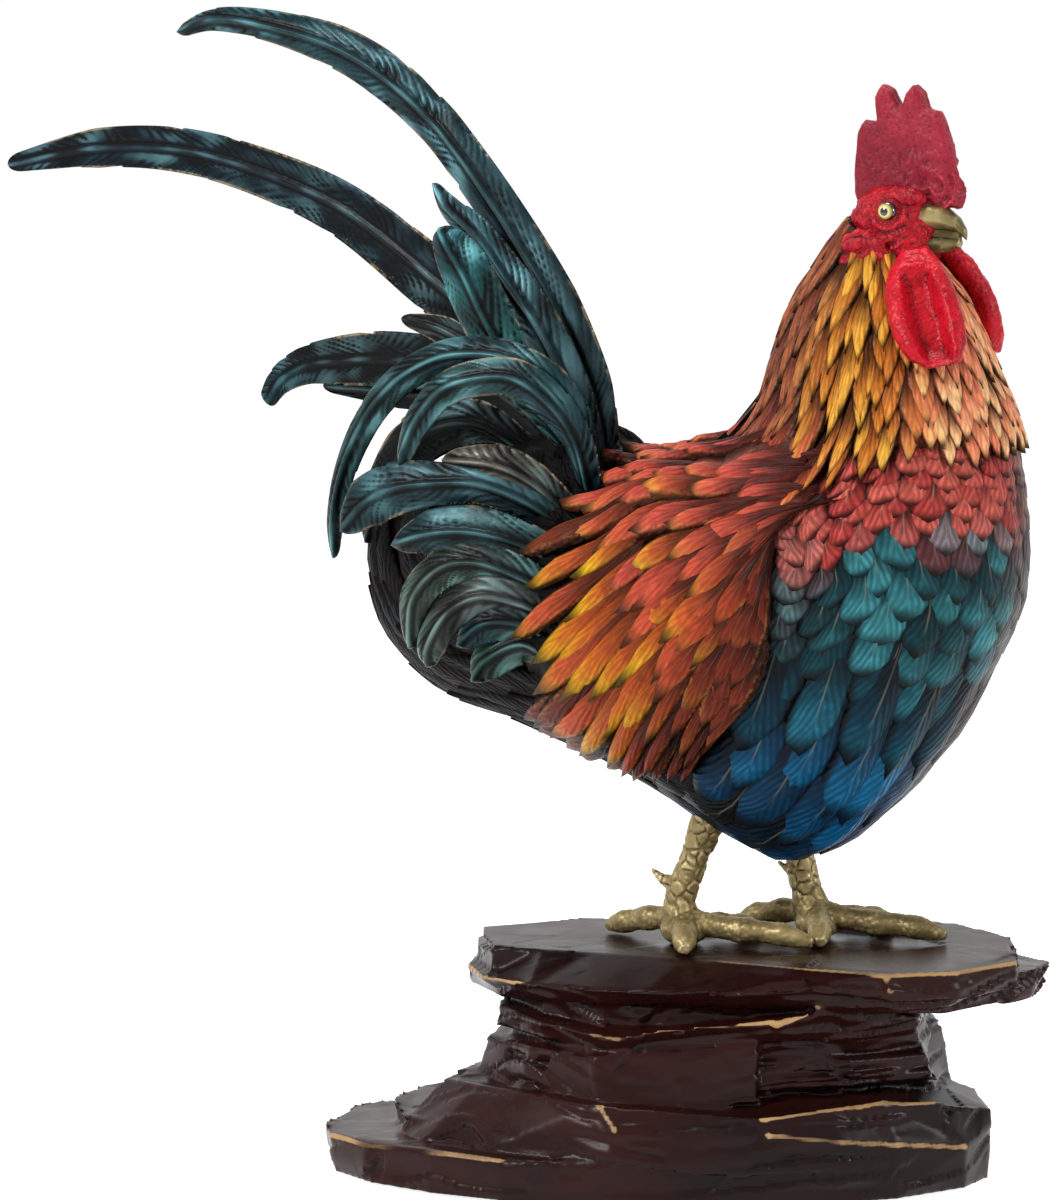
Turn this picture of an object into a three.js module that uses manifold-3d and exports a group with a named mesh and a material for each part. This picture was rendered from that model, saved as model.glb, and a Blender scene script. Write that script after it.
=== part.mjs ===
// A copper rooster figurine on a rock plinth, about 36 cm tall, in millimetres, +Z up.
// The plinth is a hollow casting with a screwed cover and a felt sheet below, and the bird is an
// assembly of painted copper castings: body halves, wings, neck, head fittings, legs and tail plumes.
// The origin is the middle of the felt's underside. The plinth's long side runs along X and its
// front faces -Y; the bird's own frame is turned towards that front.
import * as THREE from "three";
import { mergeVertices } from "three/addons/utils/BufferGeometryUtils.js";
import Module from "manifold-3d";

const wasm = await Module();
wasm.setup();

// Driving dimensions, in millimetres and degrees
const SEAT_GAP = 0.3; // brazed or glued joint between two castings
const BIRD_TURN = 30; // the bird looks this far towards the front of the plinth
const WALL = 3; // wall of the hollow body castings

const PLINTH_LENGTH = 221; // along X
const PLINTH_DEPTH = 130; // along Y
const PLINTH_TOP = 70; // height of the ledge that the feet stand on
const PLINTH_FOOT = 1; // the rock's rim stays this far above the table
const PLINTH_ROOF = 12; // rock thickness above the hollow
const COVER_THICKNESS = 2.5;
const COVER_INSET = 5; // ledge that the cover rests on, outside the hollow
const FELT_THICKNESS = 1.2;

const STUD_RADIUS = 2;
const STUD_IN_LEG = 6; // how far a stud reaches up into the foot
const STUD_CLEARANCE = 0.3;
const STUD_TAIL = 4; // thread left below the nut
const NUT_WIDTH = 7; // across flats
const NUT_HEIGHT = 3.2;
const WASHER_RADIUS = 5.5;
const WASHER_THICKNESS = 1;

const SCREW_RADIUS = 1.5;
const SCREW_LENGTH = 11;
const SCREW_HEAD_RADIUS = 3;
const SCREW_CLEARANCE = 0.3;
const BOSS_RADIUS = 4.5;
const BOSS_HEIGHT = 12;

const FEATHER_CREST = 1.5; // how far a body feather's quill stands above the skin
const PLUME_THICKNESS = 2.6;

const SHANK_RADIUS = 4.9;
const TOE_RADIUS = 3.7;
const MIDDLE_TOE = 40;
const SIDE_TOE = 25;
const HIND_TOE = 30;
const SPUR_LENGTH = 8;

const EYE_RADIUS = 3.2;
const COMB_THICKNESS = 5;

// Solid modelling helpers

// The signed volume of an indexed geometry, negative when its faces point inwards.
function signedVolume(geometry) {
  const position = geometry.attributes.position;
  const index = geometry.index.array;
  const a = new THREE.Vector3();
  const b = new THREE.Vector3();
  const c = new THREE.Vector3();
  let sum = 0;
  for (let i = 0; i < index.length; i += 3) {
    a.fromBufferAttribute(position, index[i]);
    b.fromBufferAttribute(position, index[i + 1]);
    c.fromBufferAttribute(position, index[i + 2]);
    sum += a.dot(b.cross(c)) / 6;
  }
  return sum;
}

// A manifold solid from a closed geometry, with its faces turned outwards.
function solid(geometry) {
  const bare = geometry.clone();
  bare.deleteAttribute("normal");
  bare.deleteAttribute("uv");
  const merged = mergeVertices(bare, 1e-4);
  const triVerts = new Uint32Array(merged.index.array);
  if (signedVolume(merged) < 0) triVerts.reverse();
  return new wasm.Manifold(
    new wasm.Mesh({ numProp: 3, vertProperties: merged.attributes.position.array, triVerts }),
  );
}

// The largest connected body of a solid; cuts can leave slivers beside it.
function largest(shape) {
  const bodies = shape.decompose();
  return bodies.reduce((best, body) => (body.volume() > best.volume() ? body : best));
}

// All shapes as one solid.
function join(...shapes) {
  return shapes.flat().reduce((sum, shape) => sum.add(shape));
}

// A solid less all the others.
function cut(shape, ...others) {
  return others.flat().reduce((rest, other) => rest.subtract(other), shape);
}

// A three.js geometry from a manifold solid.
function geometryOf(shape) {
  const mesh = shape.getMesh();
  const geometry = new THREE.BufferGeometry();
  geometry.setAttribute("position", new THREE.BufferAttribute(mesh.vertProperties, 3));
  geometry.setIndex(new THREE.BufferAttribute(mesh.triVerts, 1));
  geometry.computeVertexNormals();
  return geometry;
}

// A closed skin through rings of equal count. It ends in a fan at both ends, or joins up in a loop.
function skin(rings, loop = false) {
  const count = rings[0].length;
  const points = rings.flat();
  const index = [];
  const spans = loop ? rings.length : rings.length - 1;
  for (let r = 0; r < spans; r++) {
    const row = r * count;
    const nextRow = ((r + 1) % rings.length) * count;
    for (let k = 0; k < count; k++) {
      const next = (k + 1) % count;
      index.push(row + k, row + next, nextRow + next, row + k, nextRow + next, nextRow + k);
    }
  }
  if (!loop) {
    const middle = (ring) =>
      ring.reduce((sum, p) => sum.add(p), new THREE.Vector3()).divideScalar(ring.length);
    const start = points.push(middle(rings[0]), middle(rings.at(-1))) - 2;
    const last = (rings.length - 1) * count;
    for (let k = 0; k < count; k++) {
      const next = (k + 1) % count;
      index.push(start, next, k);
      index.push(start + 1, last + k, last + next);
    }
  }
  const geometry = new THREE.BufferGeometry().setFromPoints(points);
  geometry.setIndex(index);
  return geometry;
}

// A smooth curve through points written as [x, y, z].
function curveThrough(points) {
  return new THREE.CatmullRomCurve3(
    points.map((p) => new THREE.Vector3(...p)),
    false,
    "catmullrom",
    0.5,
  );
}

// A value read from evenly spaced keys, at a share from 0 to 1.
function keyed(keys, share) {
  const at = Math.min(Math.max(share, 0), 1) * (keys.length - 1);
  const low = Math.min(Math.floor(at), keys.length - 2);
  return THREE.MathUtils.lerp(keys[low], keys[low + 1], at - low);
}

// A round limb of changing radius along a curve.
function limb(points, radii, steps = 8, sides = 8, grow = 0) {
  const curve = curveThrough(points);
  const rings = [];
  for (let i = 0; i <= steps; i++) {
    const share = i / steps;
    const centre = curve.getPoint(share);
    const along = curve.getTangent(share);
    const side = new THREE.Vector3(0, 1, 0);
    if (Math.abs(along.y) > 0.8) side.set(1, 0, 0);
    side.cross(along).normalize();
    const over = along.clone().cross(side);
    const radius = keyed(radii, share) + grow;
    const ring = [];
    for (let k = 0; k < sides; k++) {
      const turn = (2 * Math.PI * k) / sides;
      ring.push(
        centre
          .clone()
          .addScaledVector(side, radius * Math.cos(turn))
          .addScaledVector(over, radius * Math.sin(turn)),
      );
    }
    rings.push(ring);
  }
  return solid(skin(rings));
}

// A round upright pin between two heights.
function pin(x, y, low, high, radius, sides = 16) {
  const geometry = new THREE.CylinderGeometry(radius, radius, high - low, sides);
  geometry.rotateX(Math.PI / 2);
  geometry.translate(x, y, (low + high) / 2);
  return solid(geometry);
}

// An ellipsoid about a centre, leaned about the Y axis.
function ellipsoid(centre, radii, lean = 0, segments = 16) {
  const geometry = new THREE.SphereGeometry(1, segments, Math.round(segments * 0.6));
  geometry.scale(...radii);
  geometry.rotateY(THREE.MathUtils.degToRad(lean));
  geometry.translate(...centre);
  return solid(geometry);
}

// The body's skin: stations from the throat round to the vent. Each is a ring through a point on
// the back line and a point on the breast line, both in the bird's middle plane, with a half width.
const STATIONS = [
  { back: [59, 289], front: [82, 277], half: 13 },
  { back: [50, 277], front: [92, 265], half: 19 },
  { back: [42, 264], front: [98, 252], half: 24 },
  { back: [37, 250], front: [104, 238], half: 30 },
  { back: [33, 236], front: [108, 225], half: 35 },
  { back: [24, 223], front: [110, 210], half: 42 },
  { back: [11, 217], front: [111, 193], half: 48 },
  { back: [3, 214], front: [109, 174], half: 51 },
  { back: [-3, 213], front: [99, 153], half: 53 },
  { back: [-8, 212], front: [85, 132], half: 53 },
  { back: [-12, 212], front: [65, 110], half: 51 },
  { back: [-15, 212], front: [42, 97], half: 48 },
  { back: [-18, 213], front: [18, 106], half: 45 },
  { back: [-21, 213], front: [-6, 118], half: 43 },
  { back: [-23, 214], front: [-29, 127], half: 40 },
  { back: [-26, 215], front: [-54, 135], half: 37 },
  { back: [-29, 217], front: [-78, 141], half: 33 },
  { back: [-32, 219], front: [-98, 156], half: 27 },
  { back: [-35, 221], front: [-107, 179], half: 20 },
  { back: [-39, 222], front: [-103, 200], half: 12 },
];
const LAST_STATION = STATIONS.length - 1;
const backLine = curveThrough(STATIONS.map((s) => [s.back[0], s.half, s.back[1]]));
const frontLine = curveThrough(STATIONS.map((s) => [s.front[0], s.half, s.front[1]]));

// A point on the skin. Turn 0 is the breast line, 180 the back line, positive on the left side.
function bodyPoint(station, turn, lift = 0) {
  const share = THREE.MathUtils.clamp(station / LAST_STATION, 0, 1);
  const back = backLine.getPoint(share);
  const front = frontLine.getPoint(share);
  const half = front.y;
  back.y = 0;
  front.y = 0;
  const middle = back.clone().add(front).multiplyScalar(0.5);
  const reach = front.sub(back).multiplyScalar(0.5);
  const angle = THREE.MathUtils.degToRad(turn);
  const point = middle.addScaledVector(reach, Math.cos(angle) * (1 + lift / reach.length()));
  point.y += Math.sin(angle) * (half + lift);
  return point;
}

// A value between keys that each pair an angle or share with a number.
function between(keys, at) {
  for (let i = 1; i < keys.length; i++) {
    const [low, a] = keys[i - 1];
    const [high, b] = keys[i];
    if (at <= high) return THREE.MathUtils.mapLinear(Math.max(at, low), low, high, a, b);
  }
  return keys.at(-1)[1];
}

// Rings of overlapping feathers. `at` places a point from its share along and across the field and
// its height; `rows` feathers follow each other and `count` lie side by side, pointed at their tips.
// `strength` lets the relief fade out over part of the field.
function featherRings({ at, rows, count, closed, base = 0, notch = 0.42, strength }) {
  const columns = count * 2 + (closed ? 0 : 1);
  const rings = [];
  const ring = (share, height) =>
    rings.push(
      Array.from({ length: columns }, (_, k) => {
        const across = k / (count * 2);
        return at(share(k), across, base + height(k));
      }),
    );
  for (let r = 0; r < rows; r++) {
    const quill = (k) => (k + r) % 2;
    const fade = (k, along) => (strength ? strength(along, k / (count * 2)) : 1);
    const step = 1 / rows;
    const tip = (k) => (r + 1 - notch * (1 - quill(k)) * fade(k, (r + 1) / rows)) * step;
    ring((k) => (r + 0.42) * step, (k) => FEATHER_CREST * 0.5 * quill(k) * fade(k, (r + 0.5) / rows));
    ring(tip, (k) => FEATHER_CREST * (0.45 + 0.55 * quill(k)) * fade(k, (r + 1) / rows));
    if (r < rows - 1) ring((k) => tip(k) + 0.06 * step, () => 0);
  }
  return rings;
}

const CAPE = { rows: 6, count: 16 };
const BREAST = { rows: 6, count: 14 };
const RUMP = { rows: 4, count: 10 };
const WING = { rows: 6, count: 8 };
const WING_SEAT = 0.85; // height of the shell's inner face above the skin; its facets bow inwards
const WING_LIFT = 2.3; // the wing shell's outer face above the skin, without its feathers
const WAIST_STATION = 12.7; // joint between the breast and rump castings
const BORE_START = 1.3; // the neck is solid above this station
const BORE_END = 17.5; // and the rump behind this one
const SEAT_STEP = 0.03; // a seat gap, as a share of a station
const CAPE_SEAT = 0.5; // height of the cape's last feathers over the breast
const CAPE_LAP = 0.55; // how far the cape's last feathers lie over the breast, in stations

// The cape's hem dips towards the back: keys of turn and station.
const CAPE_HEM = [[0, 4.1], [60, 4.15], [78, 4.8], [95, 5.9], [115, 6.1], [180, 6.1]];
const hemAt = (turn) => between(CAPE_HEM, Math.abs(turn));
const turnOf = (across) => -180 + 360 * across;

// A ring of the skin at a station that may change with the turn.
function bodyRing(stationAt, count, lift) {
  return Array.from({ length: count }, (_, k) => {
    const turn = turnOf(k / count);
    return bodyPoint(stationAt(turn), turn, lift);
  });
}

// The neck casting with its cape of hackles, open at its lower end. Its hem laps over the breast.
function neckForm() {
  const columns = CAPE.count * 2;
  const outer = featherRings({
    at: (along, across, lift) => bodyPoint(hemAt(turnOf(across)) * along, turnOf(across), lift),
    closed: true,
    ...CAPE,
  });
  const seat = (turn) => hemAt(turn) - CAPE_LAP;
  const under = outer.at(-1).map((p, k) => {
    const turn = turnOf(k / columns);
    const share = (k + CAPE.rows - 1) % 2 ? 0 : -0.4 / CAPE.rows;
    return bodyPoint(hemAt(turn) * (1 + share), turn, CAPE_SEAT);
  });
  const top = bodyRing(() => 0, columns, -1.5);
  const shell = [top, ...outer, under];
  shell.push(bodyRing(seat, columns, CAPE_SEAT));
  shell.push(bodyRing(seat, columns, -WALL));
  for (const share of [0.75, 0.5, BORE_START / CAPE_HEM[0][1]]) {
    shell.push(bodyRing((turn) => seat(turn) * share, columns, -WALL));
  }
  return solid(skin(shell));
}

// A plain form just over the skin between two stations, for cutting what stands against it.
const ROOM_MARGIN = 0.45; // room forms have fewer facets, so they stand this much further out
function skinRoom(from, to, count, lift) {
  const rings = [];
  for (let i = 0; i <= 7; i++) {
    const station = THREE.MathUtils.lerp(from, to, i / 7);
    rings.push(bodyRing(() => station, count, lift + SEAT_GAP + ROOM_MARGIN));
  }
  return solid(skin(rings));
}

// The breast casting, open at the neck and the waist. Its relief fades out under the wings.
// The turn where it has gone, by station.
const BREAST_SIDE = [[4, 104], [5.5, 96], [6.2, 90], [7, 78], [8.8, 66], [10.3, 54], [11.7, 42],
  [12.7, 34]];
const FADE = 10; // degrees
function breastForm() {
  const columns = BREAST.count * 2;
  const start = (turn) => hemAt(turn) - CAPE_LAP + SEAT_STEP * 2;
  const first = (turn) => hemAt(turn) + 0.12;
  const stationAt = (along, turn) => THREE.MathUtils.lerp(first(turn), WAIST_STATION, along);
  const outer = featherRings({
    at: (along, across, lift) => bodyPoint(stationAt(along, turnOf(across)), turnOf(across), lift),
    closed: true,
    strength: (along, across) => {
      const turn = turnOf(across);
      const edge = between(BREAST_SIDE, stationAt(along, turn));
      return along < 0.98 ? THREE.MathUtils.clamp((edge - Math.abs(turn)) / FADE, 0, 1) : 0;
    },
    ...BREAST,
  });
  const bore = [];
  for (let station = WAIST_STATION; station > 6.6; station -= 1.5) {
    bore.push(bodyRing(() => station, columns, -WALL));
  }
  const rings = [
    bodyRing(start, columns, 0),
    ...outer,
    bodyRing(() => WAIST_STATION, columns, 0),
    ...bore,
    bodyRing(start, columns, -WALL),
  ];
  return solid(skin(rings, true));
}

// The rump casting, open at the waist, with fluff below and bare sides under wings and coverts.
const RUMP_RELIEF = [[0, 1], [56, 1], [76, 0], [180, 0]];
function rumpForm() {
  const columns = RUMP.count * 2;
  const start = WAIST_STATION + SEAT_STEP;
  const outer = featherRings({
    at: (along, across, lift) =>
      bodyPoint(THREE.MathUtils.lerp(start, LAST_STATION, along), turnOf(across), lift),
    closed: true,
    strength: (along, across) =>
      along < 0.8 ? between(RUMP_RELIEF, Math.abs(turnOf(across))) : 0,
    ...RUMP,
  });
  const bore = [];
  for (const station of [BORE_END, 16, 14.4, start]) {
    bore.push(bodyRing(() => station, columns, -WALL));
  }
  return solid(skin([...bore, bodyRing(() => start, columns, 0), ...outer]));
}

// A wing shell: a field of long feathers from the shoulder to the flank. Keys run from the back
// down, each a share across with the station and turn there.
const WING_ROOT = {
  station: [[0, 6.2], [0.3, 6.2], [0.5, 6.2], [0.68, 6.1], [0.84, 7], [1, 8.8]],
  turn: [[0, 174], [0.3, 140], [0.5, 115], [0.68, 97], [0.84, 82], [1, 72]],
};
const WING_TIP = {
  station: [[0, 13.5], [0.3, 14.4], [0.55, 14.6], [0.8, 13.9], [1, 11.7]],
  turn: [[0, 172], [0.3, 130], [0.55, 94], [0.8, 62], [1, 49]],
};
function wingPlace(side, spread = 0) {
  const spot = (along, across) => ({
    station: THREE.MathUtils.lerp(
      between(WING_ROOT.station, across), between(WING_TIP.station, across), along),
    turn: side * THREE.MathUtils.lerp(
      between(WING_ROOT.turn, across), between(WING_TIP.turn, across), along) +
      side * spread * (1 - 2 * across),
  });
  return (along, across, lift) => {
    const { station, turn } = spot(along, across);
    return bodyPoint(station, turn, lift);
  };
}
const UNDERSIDE = [1, 0.89, 0.78, 0.67, 0.56, 0.44, 0.33, 0.22, 0.11, 0];
function wingForm(side) {
  const at = wingPlace(side);
  const outer = featherRings({ at, closed: false, base: WING_LIFT, notch: 0.55, ...WING });
  outer.unshift(outer[0].map((p, k) => at(0, k / (WING.count * 2), WING_LIFT)));
  const rings = outer.map((ring, r) => {
    const last = r === outer.length - 1;
    const along = last ? 1 - 0.3 / WING.rows : (r / (outer.length - 1)) * 0.96;
    return [...ring, ...UNDERSIDE.map((across) => at(along, across, WING_SEAT))];
  });
  return solid(skin(rings));
}

// The plain form that the plumes keep clear of a wing.
function wingRoomForm(side) {
  const at = wingPlace(side, 0.6);
  const rings = [];
  const lift = WING_LIFT + FEATHER_CREST + SEAT_GAP + ROOM_MARGIN;
  for (let i = 0; i <= 10; i++) {
    const along = -0.02 + 1.04 * (i / 10);
    const outer = UNDERSIDE.map((v) => at(along, 1 - v, lift));
    rings.push([...outer, ...UNDERSIDE.map((across) => at(along, across, -2))]);
  }
  return solid(skin(rings));
}

// Legs, in the bird's frame: where each foot stands and where its hip goes into the belly.
const FEET = [
  { side: "right", sole: [10, -15], ankle: [8, -15, 84], knee: [12, -16, 97], hip: [24, -19, 121] },
  { side: "left", sole: [39, 17], ankle: [35, 17, 83], knee: [32, 17.5, 96], hip: [29, 19, 116] },
];
const GROUND = 70; // the height in the bird's frame of the ledge under its feet
const SOLE_HEIGHT = GROUND + SEAT_GAP;

function shank({ sole, ankle, knee, hip }, grow = 0) {
  const points = [[...sole, SOLE_HEIGHT + 4], ankle, knee, hip];
  const radii = [SHANK_RADIUS * 1.3, SHANK_RADIUS * 1.05, SHANK_RADIUS, SHANK_RADIUS * 1.35];
  return limb(points, radii, 6, 7, grow);
}

function toe([x, y], heading, length, rise = 0) {
  const angle = THREE.MathUtils.degToRad(heading);
  const dx = Math.cos(angle);
  const dy = Math.sin(angle);
  const z = SOLE_HEIGHT + TOE_RADIUS;
  const points = [
    [x, y, z + 2.5],
    [x + dx * length * 0.35, y + dy * length * 0.35, z + 0.8 + rise],
    [x + dx * length * 0.72, y + dy * length * 0.72, z],
    [x + dx * length, y + dy * length, z - TOE_RADIUS * 0.55],
  ];
  return limb(points, [TOE_RADIUS * 1.15, TOE_RADIUS * 0.92, TOE_RADIUS * 0.95, 1.3], 4, 6);
}

function leg(foot) {
  const { sole, ankle } = foot;
  const [x, y] = sole;
  const spur = limb(
    [[ankle[0] - 2, ankle[1], ankle[2] + 5], [ankle[0] - 2 - SPUR_LENGTH, ankle[1], ankle[2] + 9]],
    [2.2, 0.7], 2, 6);
  const pad = ellipsoid([x, y, SOLE_HEIGHT + 4], [8, 8, 6], 0, 8);
  const toes = [
    toe(sole, 12, MIDDLE_TOE),
    toe(sole, -62, SIDE_TOE),
    toe(sole, 52, SIDE_TOE),
    toe(sole, 170, HIND_TOE, 1.5),
  ];
  const ground = new THREE.BoxGeometry(200, 200, 20);
  ground.translate(x, y, SOLE_HEIGHT - 10);
  const socket = pin(x, y, SOLE_HEIGHT - 1, SOLE_HEIGHT + STUD_IN_LEG + STUD_CLEARANCE,
    STUD_RADIUS + STUD_CLEARANCE);
  return cut(join(shank(foot), spur, pad, toes), solid(ground), socket);
}

const legs = FEET.map(leg);
const legRoom = FEET.map((foot) => shank(foot, SEAT_GAP));
const neck = neckForm();
const capeRoom = skinRoom(0, 3.5, 20, FEATHER_CREST);
const breast = largest(cut(breastForm(), legRoom));
const rump = rumpForm();
const rumpRoom = skinRoom(WAIST_STATION - 1, LAST_STATION, RUMP.count * 2, 0);
const wings = { right: wingForm(-1), left: wingForm(1) };
const wingRoom = join(wingRoomForm(-1), wingRoomForm(1));

// Tail plumes, in the bird's frame. Each lists the points its quill runs through and its half
// widths from root to tip.
const PLUMES = {
  sickle_upper: {
    quill: [[-23, -6, 214], [-24, -7, 224], [-28, -8, 239], [-39, -9, 261], [-54, -10, 284],
      [-72, -11, 307], [-83, -11, 318], [-98, -12, 330], [-115, -13, 339], [-137, -14, 345],
      [-157, -15, 347], [-170, -16, 343]],
    halves: [5, 6, 7.4, 8.4, 7.6, 7.2, 7.2, 7.4, 6.8, 5, 3.6, 1.8],
  },
  sickle_lower: {
    quill: [[-34, 6, 210], [-54, 9, 230], [-77, 12, 252], [-100, 14, 269], [-130, 16, 287],
      [-162, 18, 298], [-193, 20, 304], [-226, 22, 304], [-263, 24, 298]],
    halves: [5.4, 7.6, 9.8, 10, 8.8, 7.8, 7.2, 6.4, 2.6],
  },
  sickle_short: {
    quill: [[-24, -10, 211], [-29, -13, 232], [-39, -15, 252], [-51, -16, 268], [-62, -17, 282],
      [-71, -18, 290], [-76, -18, 297]],
    halves: [4.2, 6, 7.3, 7, 5.4, 3.6, 1.2],
  },
  main_tail_oval: {
    quill: [[-32, -14, 220], [-44, -20, 238], [-54, -23, 256], [-62, -24, 271], [-68, -24, 280],
      [-70, -24, 284]],
    halves: [4.2, 7.3, 9.4, 9.1, 6, 2.7],
  },
  side_plume_left: {
    quill: [[-40, 14, 209], [-73, 22, 229], [-97, 26, 238], [-121, 28, 239], [-137, 29, 238],
      [-151, 30, 236], [-161, 30, 231], [-167, 30, 223]],
    halves: [4.2, 7.3, 8.8, 9, 8, 6.2, 4.8, 3],
  },
  inner_plume_upper: {
    quill: [[-42, 0, 219], [-61, 2, 238], [-83, 3, 250], [-100, 3, 254]],
    halves: [3, 4.6, 5, 1.6],
  },
  inner_plume_middle: {
    quill: [[-44, 20, 203], [-60, 24, 216], [-88, 30, 226], [-120, 35, 228], [-150, 37, 229]],
    halves: [2.6, 3.6, 4.8, 5, 1.8],
  },
  inner_plume_lower: {
    quill: [[-41, -4, 208], [-65, -9, 223], [-86, -11, 218], [-97, -12, 202], [-104, -12, 185]],
    halves: [4, 7.5, 8.5, 8, 3],
  },
  arc_plume_outer: {
    quill: [[-21, -18, 209], [-23, -23, 227], [-30, -28, 239], [-44, -31, 246], [-61, -33, 246],
      [-75, -35, 240], [-85, -36, 231], [-92, -37, 220], [-97, -38, 207], [-99, -39, 194],
      [-99, -39, 183]],
    halves: [4, 5.2, 5.8, 5.4, 5.2, 5, 4.8, 4.4, 3.8, 3.2, 1.5],
  },
  arc_plume_inner: {
    quill: [[-19, -22, 206], [-20, -29, 222], [-26, -34, 233], [-36, -37, 240], [-48, -39, 240],
      [-59, -41, 236], [-68, -42, 226], [-73, -43, 213]],
    halves: [4, 5.6, 6.4, 6, 5.6, 5.2, 4.6, 2.4],
  },
};
const COVERTS = [
  { quill: [[-23, -26, 194], [-34, -34, 203], [-47, -39, 208], [-61, -42, 208], [-74, -44, 206],
      [-84, -45, 201], [-92, -46, 192]], halves: [3, 3.9, 3.9, 4.2, 5.1, 5.1, 1.8] },
  { quill: [[-23, -26, 199], [-32, -34, 209], [-43, -38, 214], [-60, -40, 215]],
    halves: [2.7, 3.9, 4.2, 1.8] },
  { quill: [[-21, -34, 184], [-32, -41, 191], [-47, -44, 194], [-61, -46, 193], [-74, -46, 189]],
    halves: [3.6, 4.5, 5.1, 4.5, 1.5] },
  { quill: [[-21, -37, 175], [-31, -42, 181], [-44, -45, 185], [-56, -47, 183], [-65, -48, 173],
      [-67, -47, 158]], halves: [3, 3.9, 4.2, 3.9, 3.6, 1.8] },
  { quill: [[-21, -38, 168], [-30, -43, 173], [-42, -47, 175], [-52, -49, 170], [-59, -49, 160],
      [-60, -48, 153]], halves: [3, 3.9, 3.9, 3.6, 3.3, 1.8] },
  { quill: [[-22, -38, 162], [-30, -43, 167], [-41, -47, 167], [-50, -48, 160]],
    halves: [3, 3.9, 3.9, 1.8] },
  { quill: [[-23, -37, 157], [-31, -42, 161], [-41, -45, 156], [-47, -44, 149]],
    halves: [3, 3.9, 3.9, 1.8] },
];

// A plume: a thin blade along its quill, roofed over the quill, with its flat facing sideways.
function plume({ quill, halves }, grow = 0) {
  const steps = Math.min(12, 2 * (quill.length - 1));
  const curve = curveThrough(quill);
  const rings = [];
  for (let i = 0; i <= steps; i++) {
    const share = i / steps;
    const centre = curve.getPoint(share);
    const along = curve.getTangent(share);
    const outward = new THREE.Vector3(0, centre.y < 0 ? -1 : 1, 0);
    const across = along.clone().cross(outward).normalize();
    const out = across.clone().cross(along).normalize();
    const half = keyed(halves, share) + grow;
    const thick = PLUME_THICKNESS / 2 + grow;
    const place = (side, up) =>
      centre.clone().addScaledVector(across, side).addScaledVector(out, up);
    rings.push([
      place(-half, -thick * 0.8),
      place(-half * 0.5, thick * 0.5),
      place(0, thick),
      place(half * 0.5, thick * 0.5),
      place(half, -thick * 0.8),
      place(0, -thick * 0.6),
    ]);
  }
  if (grow > 0) {
    rings[0].forEach((p) => p.addScaledVector(curve.getTangent(0), -grow));
    rings.at(-1).forEach((p) => p.addScaledVector(curve.getTangent(1), grow));
  }
  return solid(skin(rings));
}

function flip({ quill, halves }) {
  return { quill: quill.map(([x, y, z]) => [x, -y, z]), halves };
}

const plumeNodes = new Map();
const taken = [rumpRoom, wingRoom];
function addPlume(name, form) {
  plumeNodes.set(name, largest(cut(plume(form), taken)));
  taken.push(plume(form, SEAT_GAP));
}
for (const [name, form] of Object.entries(PLUMES)) addPlume(name, form);
COVERTS.forEach((form, i) => addPlume(`covert_right_${i + 1}`, form));
COVERTS.forEach((form, i) => addPlume(`covert_left_${i + 1}`, flip(form)));

// Head fittings
const HEAD = { centre: [72, 0, 285.5], radii: [14, 13, 14] };
const headForm = (grow) =>
  ellipsoid(HEAD.centre, HEAD.radii.map((r) => r + grow), 0, 12);

const COMB_OUTLINE = new THREE.Shape();
COMB_OUTLINE.moveTo(62, 288);
COMB_OUTLINE.quadraticCurveTo(57, 300, 60, 316);
COMB_OUTLINE.quadraticCurveTo(62, 320, 66, 316);
COMB_OUTLINE.lineTo(65, 325);
COMB_OUTLINE.quadraticCurveTo(68, 330, 71, 326);
COMB_OUTLINE.lineTo(74.5, 321);
COMB_OUTLINE.lineTo(75.5, 326);
COMB_OUTLINE.quadraticCurveTo(78, 331, 81, 325);
COMB_OUTLINE.lineTo(82, 321.5);
COMB_OUTLINE.quadraticCurveTo(86, 324, 87, 319);
COMB_OUTLINE.quadraticCurveTo(93, 304, 94, 296);
COMB_OUTLINE.quadraticCurveTo(94, 290, 88, 293);
COMB_OUTLINE.lineTo(80, 288);

function comb(grow = 0) {
  const depth = COMB_THICKNESS + 2 * grow;
  const geometry = new THREE.ExtrudeGeometry(COMB_OUTLINE, {
    depth,
    curveSegments: 3,
    bevelEnabled: true,
    bevelThickness: 1,
    bevelSize: 0.8,
    bevelOffset: -0.8 + grow,
    bevelSegments: 1,
  });
  geometry.rotateX(Math.PI / 2);
  geometry.translate(0, depth / 2, 0);
  return solid(geometry);
}

// A half of the beak: rings from its root to its tip.
function beakHalf(stations, grow = 0) {
  const rings = stations.map(({ x, top, low, half }) => {
    const ring = [];
    for (let k = 0; k < 8; k++) {
      const angle = (2 * Math.PI * k) / 8;
      const z = (top + low) / 2 + ((top - low) / 2 + grow) * Math.sin(angle);
      ring.push(new THREE.Vector3(x, (half + grow) * Math.cos(angle), z));
    }
    return ring;
  });
  return solid(skin(rings));
}
const BEAK_UPPER = [
  { x: 76, top: 292.5, low: 285.6, half: 6.4 },
  { x: 83, top: 293.4, low: 286.4, half: 5.6 },
  { x: 88.5, top: 292.3, low: 286.6, half: 4.2 },
  { x: 93, top: 289.8, low: 286.2, half: 2.4 },
  { x: 95.6, top: 287.4, low: 285.4, half: 0.8 },
];
const BEAK_LOWER = [
  { x: 79, top: 285.4, low: 279.8, half: 5.2 },
  { x: 83, top: 285.9, low: 280, half: 4.8 },
  { x: 88.5, top: 285.8, low: 280.2, half: 3.4 },
  { x: 93.6, top: 284.6, low: 281.6, half: 1.3 },
];

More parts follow.
